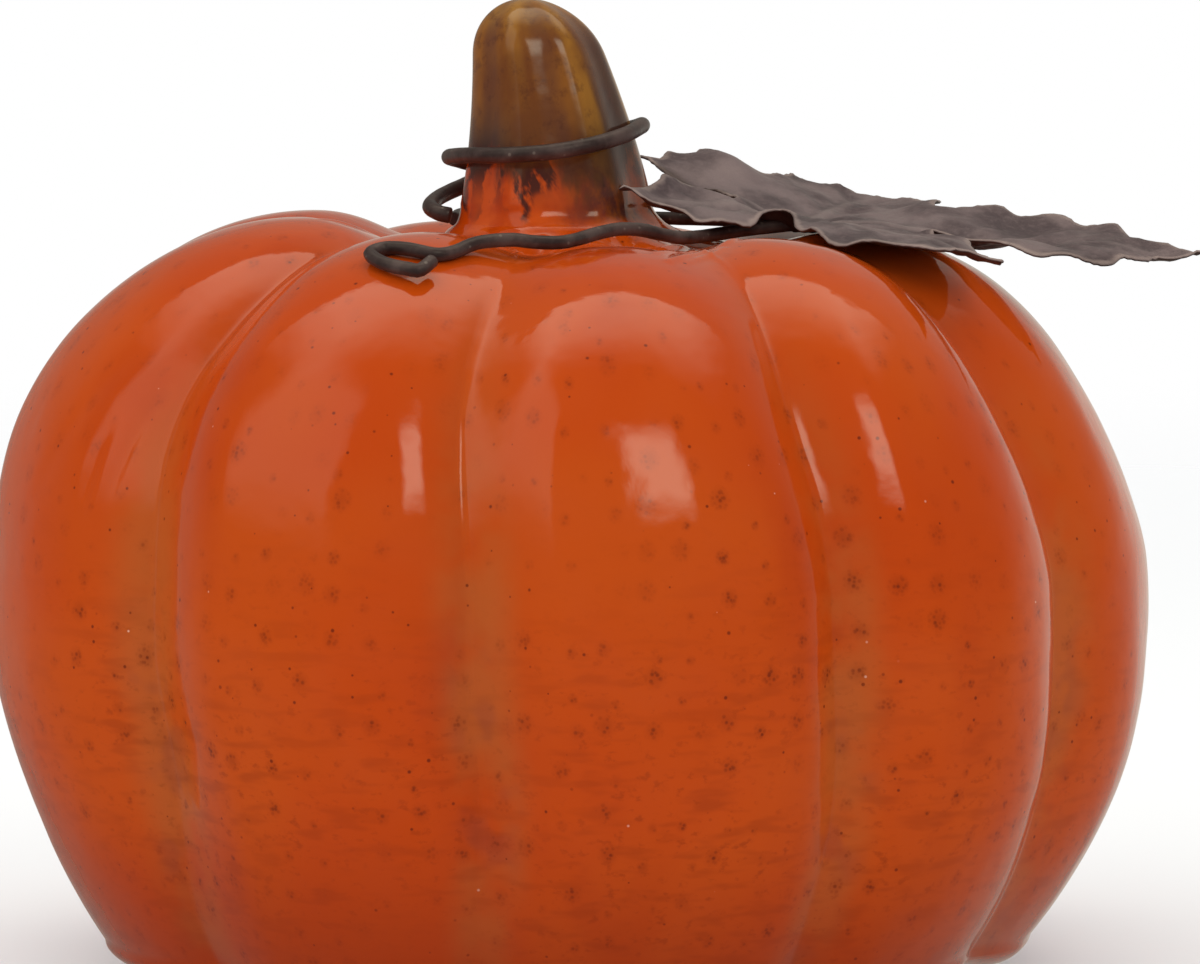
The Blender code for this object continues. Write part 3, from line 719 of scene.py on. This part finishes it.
def build_pad(index):
    """A felt disc, slightly crushed at its edges and fuzzy round its side."""
    angle = math.radians(45 + 90 * index)
    centre = np.array((AXIS_X + PAD_CIRCLE * math.sin(angle), AXIS_Y - PAD_CIRCLE * math.cos(angle), 0))
    count = 64
    a = np.arange(count) * 2 * math.pi / count
    rings = []
    for share, height in PAD_PROFILE:
        ring = np.stack([share * PAD_RADIUS * np.cos(a), share * PAD_RADIUS * np.sin(a),
                         np.full(count, height * PAD_HEIGHT)], axis=-1) + centre
        rings.append(ring)
    rings = np.array(rings)
    fuzz = noise_at(rings, 900, 20 + index) * 0.08 * MM
    outward = rings - centre
    outward[..., 2] = 0
    outward /= np.linalg.norm(outward, axis=-1, keepdims=True)
    rings = rings + outward * fuzz[..., None]
    points = np.concatenate([rings.reshape(-1, 3), [centre], [centre + np.array((0, 0, PAD_HEIGHT))]])
    faces = ring_faces(len(rings), count) + end_fans(len(rings), count, len(points) - 2, len(points) - 1)
    return mesh_object(f"felt_pad_{index + 1}", points, faces)


# ---------------------------------------------------------------- materials
class Nodes:
    """Short names for wiring a node tree."""

    def __init__(self, tree):
        self.tree = tree

    def add(self, kind, inputs=None, **settings):
        node = self.tree.nodes.new(kind)
        for key, value in settings.items():
            setattr(node, key, value)
        for key, value in (inputs or {}).items():
            self.feed(node, key, value)
        return node

    def feed(self, node, socket, value):
        if isinstance(value, bpy.types.NodeSocket):
            self.tree.links.new(value, node.inputs[socket])
        else:
            node.inputs[socket].default_value = value

    def math(self, operation, a, b=0.0, c=0.0):
        return self.add("ShaderNodeMath", {0: a, 1: b, 2: c}, operation=operation).outputs[0]

    def plus(self, a, b):
        return self.math("ADD", a, b)

    def minus(self, a, b):
        return self.math("SUBTRACT", a, b)

    def greater(self, a, b):
        return self.math("MAXIMUM", a, b)

    def times(self, a, b):
        return self.math("MULTIPLY", a, b)

    def here(self):
        return self.add("ShaderNodeTexCoord").outputs["Object"]

    def parts(self, vector):
        return self.add("ShaderNodeSeparateXYZ", {0: vector}).outputs

    def bump(self, shader, height, strength, distance):
        node = self.add("ShaderNodeBump", {"Height": height, "Strength": strength, "Distance": distance})
        self.feed(shader, "Normal", node.outputs["Normal"])

    def ramp(self, value, low, high, out_low=0.0, out_high=1.0):
        """0 to 1, or out_low to out_high, as value goes smoothly from low to high; low may be the greater."""
        node = self.add("ShaderNodeMapRange", {"Value": value, "From Min": low, "From Max": high,
                                               "To Min": out_low, "To Max": out_high},
                        interpolation_type="SMOOTHSTEP")
        return node.outputs["Result"]

    def mix(self, share, a, b):
        node = self.add("ShaderNodeMix", data_type="RGBA")
        for socket, value in ((0, share), (6, a), (7, b)):
            self.feed(node, socket, (*value, 1) if isinstance(value, tuple) else value)
        return node.outputs[2]

    def noise(self, vector, scale, detail=2.0, roughness=0.5, distortion=0.0):
        node = self.add("ShaderNodeTexNoise", {"Vector": vector, "Scale": scale, "Detail": detail,
                                               "Roughness": roughness, "Distortion": distortion})
        return node.outputs["Fac"]

    def voronoi(self, vector, scale, randomness=1.0, dimensions="3D"):
        return self.add("ShaderNodeTexVoronoi", {"Vector": vector, "Scale": scale, "Randomness": randomness},
                        voronoi_dimensions=dimensions)

    def attribute(self, name):
        return self.add("ShaderNodeAttribute", attribute_name=name).outputs["Fac"]

    def combine(self, x, y):
        return self.add("ShaderNodeCombineXYZ", {0: x, 1: y}).outputs[0]

    def scaled(self, vector, factors):
        return self.add("ShaderNodeVectorMath", {0: vector, 1: factors}, operation="MULTIPLY").outputs[0]

    def length(self, vector):
        return self.add("ShaderNodeVectorMath", {0: vector}, operation="LENGTH").outputs["Value"]

    def offset(self, vector, shift):
        return self.add("ShaderNodeVectorMath", {0: vector, 1: shift}, operation="ADD").outputs[0]


def new_material(name):
    material = bpy.data.materials.new(name)
    material.use_nodes = True
    tree = material.node_tree
    return material, Nodes(tree), tree.nodes["Principled BSDF"]


def srgb(r, g, b):
    """A colour given on the 0 to 255 scale, as linear values."""
    out = []
    for c in (r, g, b):
        c /= 255
        out.append(c / 12.92 if c <= 0.04045 else ((c + 0.055) / 1.055) ** 2.4)
    return tuple(out)


ORANGE = srgb(181, 63, 8)
ORANGE_DEEP = srgb(163, 50, 6)
ORANGE_WARM = srgb(185, 71, 13)
TAN = srgb(172, 90, 40)
ORANGE_PAINTED_FOOT_SHADE = srgb(140, 40, 6)
SPECK = srgb(92, 24, 8)
LOW_VALLEY_GREY = srgb(126, 58, 44)
DUST = srgb(236, 200, 176)
CLAY = (srgb(188, 160, 132), srgb(206, 186, 160))
STEM_BROWN = (srgb(104, 58, 26), srgb(134, 82, 30))
STEM_HOLLOW = srgb(92, 54, 38)
STEM_PAINTED_SHADE = srgb(52, 30, 25)
STEM_GOLD_AND_HIGHLIGHT = srgb(158, 108, 38)
STEM_CROWN = srgb(152, 106, 44)
STEM_FLECK = srgb(74, 38, 26)
STEM_LOW_LEFT_GREY = srgb(58, 42, 42)
STEM_ORANGE = (srgb(182, 62, 8), srgb(202, 80, 20))
STEM_OLIVE = (srgb(122, 64, 26), srgb(70, 42, 38))
BLACK_BROWN = srgb(44, 30, 30)
LEAF_FACE = (srgb(80, 64, 68), srgb(128, 110, 111))
LEAF_GRAIN = srgb(142, 124, 124)
LEAF_VEIN_HIGHLIGHT = srgb(150, 133, 131)
LEAF_RIM_WEAR_AND_HIGHLIGHT = srgb(164, 144, 138)
LEAF_UNDER = (srgb(52, 36, 32), srgb(74, 54, 48))
PAINT = (srgb(50, 35, 33), srgb(84, 66, 62))
PAINT_BAND = srgb(118, 104, 92)
PAINT_NICK = srgb(140, 128, 116)
FELT = (srgb(46, 42, 40), srgb(86, 80, 76))

# Where the stem's colours take over from the body's: metres above the table, and from the axis
COLOUR_SEAM_Z = (0.1372, 0.1386)
COLOUR_SEAM_RADIUS = (0.037, 0.032)


def spots(n, where, spacing, radius, share):
    """Round marks, 0 to 1, in a share of the cells of a loose lattice; sizes in metres."""
    cells = n.voronoi(where, 1 / spacing, 0.75)
    pick = n.parts(cells.outputs["Color"])
    reach = n.ramp(pick[1], 0.0, 1.0, 0.5 * radius / spacing, radius / spacing)
    closeness = n.minus(1.0, n.math("DIVIDE", cells.outputs["Distance"], reach))
    chosen = n.ramp(pick[0], share, share - 0.25)
    return n.times(n.ramp(closeness, 0.0, 0.6), chosen)


# The specks, in metres: the radius at which their lattice is wound round the body, and its pitch
GIRTH_RADIUS = 0.1
LATTICE = (0.0064, 0.0076)
GRAIN_SPACING = 0.0009


def clustered(n, across, up):
    """0 to 1 round the points of a loose lattice on a surface, stronger at some than at others."""
    where = n.combine(n.math("DIVIDE", across, LATTICE[0]), n.math("DIVIDE", up, LATTICE[1]))
    cells = n.voronoi(where, 1, 0.68, "2D")
    pick = n.parts(cells.outputs["Color"])
    reach = n.ramp(pick[1], 0.0, 1.0, 0.16, 0.38)
    near = n.ramp(n.math("DIVIDE", cells.outputs["Distance"], reach), 1.0, 0.0)
    return n.times(near, n.ramp(pick[0], 0.95, 0.4, 0.2, 1.0))


def body_glaze(n, local, z):
    """Orange majolica glaze: slow drifts of colour, tan where it pooled, specks of iron."""
    colour = n.mix(n.ramp(n.noise(local, 18, 2), 0.35, 0.65), ORANGE, ORANGE_WARM)
    runs = n.noise(n.scaled(local, (1, 1, 0.3)), 40, 3)
    colour = n.mix(n.ramp(runs, 0.5, 0.74, 0, 0.4), colour, ORANGE_DEEP)
    valley = n.attribute("valley")
    pool = n.times(n.ramp(valley, 0.4, 0.9), n.ramp(n.noise(local, 60, 3), 0.3, 0.6))
    pool = n.times(pool, n.ramp(z, 0.125, 0.075, 0.12, 0.6))
    colour = n.mix(pool, colour, TAN)
    # a greyer brown mixed into the valleys low on the body
    low_valley_grey = n.times(n.ramp(valley, 0.5, 0.9), n.ramp(n.noise(local, 105, 2), 0.50, 0.66))
    colour = n.mix(n.times(low_valley_grey, n.ramp(z, 0.085, 0.050, 0, 0.32)), colour, LOW_VALLEY_GREY)
    # iron specks: clusters of grains in loose rows and columns, crisp pinheads, and a fine gauze low down
    x, y, _ = n.parts(local)
    turn = n.math("ARCTAN2", x, n.times(y, -1.0))
    girth = n.times(turn, GIRTH_RADIUS)
    seam = n.ramp(n.math("ABSOLUTE", turn), math.pi, math.pi - 0.05)
    sides = n.times(n.ramp(z, 0.131, 0.121), seam)
    clusters = n.times(clustered(n, girth, z), sides)
    clusters = n.greater(clusters, n.times(clustered(n, x, y), n.ramp(z, 0.119, 0.129)))
    grains = n.voronoi(local, 1 / GRAIN_SPACING).outputs["Distance"]
    grains = n.ramp(grains, 0.60, 0.20, 0.34, 1.0)
    region = n.ramp(n.noise(local, 26, 2), 0.30, 0.62, 0.22, 1.0)
    region = n.times(region, n.ramp(z, 0.138, 0.06, 0.55, 1.0))
    gauze = n.ramp(n.noise(n.scaled(local, (1, 1, 1.5)), 420, 3, 0.6), 0.54, 0.72, 0, 0.34)
    rows = n.ramp(n.noise(n.combine(n.times(girth, 0.3), z), 330, 2), 0.48, 0.70, 0, 0.26)
    low = n.times(n.greater(gauze, n.times(rows, seam)), n.ramp(z, 0.105, 0.04))
    marks = n.times(n.times(clusters, grains), 0.86)
    marks = n.times(n.greater(marks, low), region)
    pins = spots(n, n.offset(local, (0.003, 0.029, 0.013)), 0.0034, 0.00048, 0.7)
    marks = n.greater(marks, n.times(pins, 0.78))
    colour = n.mix(marks, colour, SPECK)
    dust = spots(n, n.offset(local, (0.041, 0.003, 0.031)), 0.0052, 0.00034, 0.3)
    colour = n.mix(n.times(dust, 0.5), colour, DUST)
    # painted shade: the glaze darkens towards the bottom of the body
    return n.mix(n.ramp(z, 0.045, 0.004, 0, 0.55), colour, ORANGE_PAINTED_FOOT_SHADE)


def stem_glaze(n, local, x, z):
    """Brown and amber glaze over the stem, thin enough at its foot for the orange to break through."""
    ridge = n.attribute("ridge")
    drawn = n.scaled(local, (1, 1, 0.42))
    streak = n.noise(drawn, 150, 3, 0.55)
    cloud = n.noise(local, 75, 3)
    brown = n.mix(n.ramp(cloud, 0.35, 0.65), *STEM_BROWN)
    hollow = n.times(n.ramp(ridge, 0.45, 0.0), n.ramp(streak, 0.3, 0.6, 0.3, 0.8))
    brown = n.mix(hollow, brown, STEM_HOLLOW)
    # painted shade: the stem is darkened towards its right side
    brown = n.mix(n.ramp(x, -0.001, 0.009, 0, 0.86), brown, STEM_PAINTED_SHADE)
    # gold on the upper ridges: partly the glaze's own amber, partly a painted highlight, stronger towards the
    # upper right
    gold_and_highlight = n.times(n.ramp(ridge, 0.62, 1.0), n.ramp(streak, 0.34, 0.64, 0.15, 0.8))
    gold_and_highlight = n.times(gold_and_highlight, n.ramp(n.plus(z, n.times(x, 1.2)), 0.148, 0.178))
    brown = n.mix(gold_and_highlight, brown, STEM_GOLD_AND_HIGHLIGHT)
    crown = n.times(n.ramp(z, 0.173, 0.181), n.ramp(streak, 0.35, 0.6, 0.2, 0.75))
    brown = n.mix(crown, brown, STEM_CROWN)
    brown = n.mix(n.ramp(n.noise(local, 330, 4, 0.65), 0.50, 0.72, 0, 0.55), brown, STEM_FLECK)
    # a darker grey-brown over the lower left of the stem
    low_left = n.times(n.ramp(z, 0.166, 0.151), n.ramp(x, -0.002, -0.015))
    brown = n.mix(n.times(low_left, n.ramp(cloud, 0.35, 0.55, 0.45, 0.95)), brown, STEM_LOW_LEFT_GREY)
    # black-brown smudges drawn a little aslant over the orange, and olive brown on the right
    slant = n.add("ShaderNodeVectorRotate", {"Vector": local, "Angle": math.radians(24)},
                  rotation_type="Y_AXIS").outputs[0]
    smudge = n.noise(n.scaled(slant, (1, 1, 0.4)), 210, 4, 0.62)
    broad = n.noise(n.scaled(local, (1, 1, 0.7)), 85, 2)
    lower = n.mix(n.ramp(n.noise(local, 120, 3), 0.4, 0.65), *STEM_ORANGE)
    right = n.times(n.ramp(x, -0.006, 0.008), n.ramp(broad, 0.3, 0.5, 0.4, 0.95))
    olive = n.mix(n.ramp(n.noise(n.scaled(local, (1, 1, 0.6)), 260, 4, 0.6), 0.40, 0.62), *STEM_OLIVE)
    lower = n.mix(n.times(right, n.ramp(z, 0.138, 0.1415)), lower, olive)
    crowd = n.times(n.ramp(z, 0.1405, 0.1505), n.ramp(x, 0.002, -0.007))
    smudge = n.math("MULTIPLY_ADD", crowd, 0.075, smudge)
    dark = n.times(n.ramp(smudge, 0.50, 0.60), n.greater(n.ramp(broad, 0.38, 0.54), crowd))
    dark = n.times(dark, n.ramp(z, 0.1385, 0.1415))
    lower = n.mix(n.times(dark, 0.9), lower, BLACK_BROWN)
    edge = n.noise(n.scaled(local, (1, 1, 0.4)), 120, 4, 0.62)
    rise = n.plus(z, n.times(n.minus(edge, 0.5), 0.034))
    rise = n.plus(rise, n.times(x, 0.15))
    return n.mix(n.ramp(rise, 0.1545, 0.1455), brown, lower)


def glaze_material(name, on_stem):
    """The one glaze that runs over body and stem; bare clay shows where the body is not glazed."""
    material, n, shader = new_material(name)
    here = n.here()
    local = n.offset(here, (-AXIS_X, -AXIS_Y, 0))
    x, _, z = n.parts(local)
    reach = n.length(n.scaled(local, (1, 1, 0)))
    by_the_stem = n.times(n.ramp(z, *COLOUR_SEAM_Z), n.ramp(reach, *COLOUR_SEAM_RADIUS))
    colour = n.mix(by_the_stem, body_glaze(n, local, z), stem_glaze(n, local, x, z))
    rough = n.ramp(n.noise(local, 90, 2), 0.3, 0.7, 0.05, 0.10)
    rough = n.plus(rough, n.ramp(z, 0.139, 0.150, 0, 0.03))
    if not on_stem:
        foot = n.plus(z, n.times(n.minus(n.noise(local, 120, 2), 0.5), 0.002))
        bare = n.minus(1.0, n.attribute("glazed"))
        clay = n.greater(n.ramp(foot, 0.0030, 0.0022), bare)
        colour = n.mix(clay, colour, n.mix(n.noise(local, 700, 4), *CLAY))
        rough = n.greater(rough, n.times(clay, 0.8))
    n.feed(shader, "Base Color", colour)
    n.feed(shader, "Roughness", rough)
    n.feed(shader, "IOR", 1.5)
    height = n.plus(n.noise(local, 95, 2), n.times(n.noise(local, 620, 3), 0.06))
    n.bump(shader, height, strength=0.35, distance=0.0006)
    return material


def leaf_material():
    material, n, shader = new_material("leaf_metal")
    here = n.here()
    edge, ridge, top = n.attribute("edge"), n.attribute("ridge"), n.attribute("top")
    cloud = n.noise(here, 70, 4, 0.6)
    grain = n.noise(here, 900, 3, 0.7)
    face = n.mix(n.ramp(cloud, 0.35, 0.65), *LEAF_FACE)
    face = n.mix(n.ramp(grain, 0.45, 0.7, 0, 0.3), face, LEAF_GRAIN)
    # painted highlight: the raised veins are lightened
    face = n.mix(n.ramp(ridge, 0.3, 1.0, 0, 0.45), face, LEAF_VEIN_HIGHLIGHT)
    # lighter rim: partly wear along the edge, partly a painted highlight where the rolled rim catches light
    rim_wear_and_highlight = n.plus(edge, n.times(n.minus(n.noise(here, 240, 3), 0.5), 2.4))
    face = n.mix(n.ramp(rim_wear_and_highlight, 1.2, 0.1, 0, 0.65), face, LEAF_RIM_WEAR_AND_HIGHLIGHT)
    under = n.mix(n.ramp(cloud, 0.35, 0.65), *LEAF_UNDER)
    # painted shade: the dark underside colour laid over the turned-down margins
    face = n.mix(n.ramp(n.attribute("turned_down_shade"), 0.3, 0.9, 0, 0.8), face, under)
    colour = n.mix(n.ramp(top, 0.3, 0.6), under, face)
    n.feed(shader, "Base Color", colour)
    n.feed(shader, "Metallic", 0.35)
    n.feed(shader, "Roughness", n.ramp(grain, 0.3, 0.7, 0.42, 0.6))
    height = n.plus(n.noise(here, 300, 3), n.times(grain, 0.4))
    n.bump(shader, height, strength=0.5, distance=0.0003)
    return material


def wire_material():
    material, n, shader = new_material("wire_paint")
    here = n.here()
    along = n.attribute("along")
    cloud = n.noise(here, 160, 4, 0.6)
    band = n.noise(n.combine(along, 0.0), 260, 3, 0.6)
    colour = n.mix(n.ramp(cloud, 0.35, 0.68), *PAINT)
    colour = n.mix(n.ramp(band, 0.62, 0.75, 0, 0.4), colour, PAINT_BAND)
    nick = n.voronoi(here, 420, 1.0)
    colour = n.mix(n.ramp(nick.outputs["Distance"], 0.16, 0.1, 0, 0.35), colour, PAINT_NICK)
    n.feed(shader, "Base Color", colour)
    n.feed(shader, "Metallic", 0.15)
    n.feed(shader, "Roughness", n.ramp(cloud, 0.3, 0.7, 0.34, 0.5))
    n.bump(shader, n.noise(here, 700, 4, 0.6), strength=0.5, distance=0.0002)
    return material


def felt_material():
    material, n, shader = new_material("felt")
    here = n.here()
    fibre = n.noise(here, 1600, 4, 0.7, 1.5)
    colour = n.mix(n.ramp(fibre, 0.3, 0.7), *FELT)
    n.feed(shader, "Base Color", colour)
    n.feed(shader, "Roughness", 0.95)
    n.feed(shader, "Sheen Weight", 0.4)
    n.bump(shader, fibre, strength=0.8, distance=0.0003)
    return material


def wear(obj, material, body, slot, *nodes):
    """Give a piece its material and the body that carries it, and hide the CAD nodes it stands for."""
    obj.data.materials.append(material)
    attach(obj, body)
    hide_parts(*nodes)


# ---------------------------------------------------------------- stage
LAMP_TINT = (1.0, 0.95, 0.76)
MIDDLE_Z = 0.09
FLOOR_REACH = 1.8
FLOOR_FADE = (1.7, 0.35)
FLOOR_DENSITY = 0.78
CAMERA_PLACE = Vector((-0.0003, -1.1997, 0.190))
CAMERA_AIM = Vector((-0.0003, 0.0003, 0.0906))
VIEW_WIDTH = 0.2256  # what the camera takes in, side to side, at the place it aims at


def aim(obj, place, target):
    obj.location = place
    obj.rotation_euler = (target - place).to_track_quat("-Z", "Y").to_euler()


def softbox(name, place, target, width, depth, radiance, fades):
    """A rectangular lamp whose glow fades towards its low and high x edge and its low and high y edge."""
    light = bpy.data.lights.new(name, "AREA")
    light.shape = "RECTANGLE"
    light.size, light.size_y = width, depth
    light.energy = radiance * math.pi * width * depth
    light.color = LAMP_TINT
    light.use_nodes = True
    n = Nodes(light.node_tree)
    u, v, _ = n.parts(n.add("ShaderNodeNewGeometry").outputs["Parametric"])
    side = n.times(n.ramp(u, 0.0, fades[0]), n.ramp(u, 1.0, 1 - fades[1]))
    end = n.times(n.ramp(v, 0.0, fades[2]), n.ramp(v, 1.0, 1 - fades[3]))
    n.feed(light.node_tree.nodes["Emission"], "Strength", n.times(side, end))
    aim(new_object(name, light), Vector(place), Vector(target))


def around(azimuth, elevation, distance):
    """A place round the pumpkin: azimuth 0 is in front of it and 90 is towards +X."""
    a, e = math.radians(azimuth), math.radians(elevation)
    return (distance * math.cos(e) * math.sin(a), -distance * math.cos(e) * math.cos(a),
            MIDDLE_Z + distance * math.sin(e))


def build_floor():
    corners = [(x * FLOOR_REACH, y * FLOOR_REACH, 0) for x, y in ((-1, -1), (1, -1), (1, 1), (-1, 1))]
    obj = mesh_object("floor", corners, [(0, 1, 2, 3)])
    obj.visible_glossy = False
    material, n, shader = new_material("floor_paint")
    here = n.here()
    colour = n.mix(n.noise(here, 3, 2), (0.92, 0.94, 0.98), (0.94, 0.96, 1.0))
    n.feed(shader, "Base Color", colour)
    n.feed(shader, "Roughness", 0.9)
    n.feed(shader, "Specular IOR Level", 0.1)
    # the floor melts into the white of the room, and hides nothing from below
    from_above = n.minus(1.0, n.add("ShaderNodeNewGeometry").outputs["Backfacing"])
    density = n.times(n.ramp(n.length(here), *FLOOR_FADE, 0.0, FLOOR_DENSITY), from_above)
    n.feed(shader, "Alpha", density)
    obj.data.materials.append(material)


def build_world():
    """White to the eye, an even glow on everything, and in the gloss a dark room with a pale back wall."""
    world = bpy.data.worlds.new("studio")
    bpy.context.scene.world = world
    world.use_nodes = True
    w = Nodes(world.node_tree)
    side, back, up = w.parts(w.add("ShaderNodeTexCoord").outputs["Generated"])
    behind = w.times(w.ramp(back, 0.0, 0.85), w.ramp(side, -0.42, 0.3, 0.22, 0.8))
    level = w.ramp(w.math("ABSOLUTE", up), 0.35, 0.03, 0.34, 0.80)
    room = w.plus(w.ramp(up, 0.02, -0.15, 0.12, 0.15), w.times(behind, level))
    glow = w.math("MULTIPLY_ADD", back, -0.12, w.math("MULTIPLY_ADD", side, -0.05, 0.82))
    path = w.add("ShaderNodeLightPath").outputs
    strength = w.math("MULTIPLY_ADD", path["Is Glossy Ray"], w.minus(room, glow), glow)
    strength = w.greater(strength, path["Is Camera Ray"])
    tint = w.mix(path["Is Glossy Ray"], (1, 1, 1), (1, 0.94, 0.83))
    sky = world.node_tree.nodes["Background"]
    w.feed(sky, "Color", tint)
    w.feed(sky, "Strength", strength)


def build_stage():
    build_floor()
    build_world()
    target = (0, 0, 0.14)
    softbox("ceiling", place=(0, 0.08, 1.54), target=(0, 0.08, 0), width=2.6, depth=1.1,
            radiance=1.5, fades=(0.3, 0.3, 0.62, 0.02))
    softbox("key", place=around(23, 39, 1.5), target=target, width=0.54, depth=0.84,
            radiance=3.3, fades=(0.25, 0.25, 0.3, 0.3))
    softbox("left_panel", place=around(-60, 40, 1.7), target=target, width=1.4, depth=1.9,
            radiance=0.70, fades=(0.25, 0.12, 0.3, 0.25))


def build_camera():
    data = bpy.data.cameras.new("camera")
    data.lens = data.sensor_width * (CAMERA_AIM - CAMERA_PLACE).length / VIEW_WIDTH
    camera = new_object("camera", data)
    aim(camera, CAMERA_PLACE, CAMERA_AIM)
    bpy.context.scene.camera = camera


build_camera()
build_stage()
bpy.context.scene.view_settings.view_transform = "Standard"

body = build_body()
wear(body, glaze_material("orange_glaze", on_stem=False), "pumpkin", "orange_glaze", "body_shell")
stem = build_stem()
wear(stem, glaze_material("brown_glaze", on_stem=True), "pumpkin", "brown_glaze", "stem")
paint = wire_material()
tendril = build_wire("tendril", TENDRIL_ROUTE, TENDRIL_RADIUS, 31)
wear(tendril, paint, "spray", "wire_paint", "tendril_wire")
coil = build_wire("coil", COIL_ROUTE, COIL_RADIUS, 41)
wear(coil, paint, "spray", "wire_paint", "coil_wire")
leaf = build_leaf()
wear(leaf, leaf_material(), "spray", "leaf_metal", "leaf_blade")
felt = felt_material()
for index in range(4):
    wear(build_pad(index), felt, "pumpkin", "felt", f"foot_pad_{index + 1}")
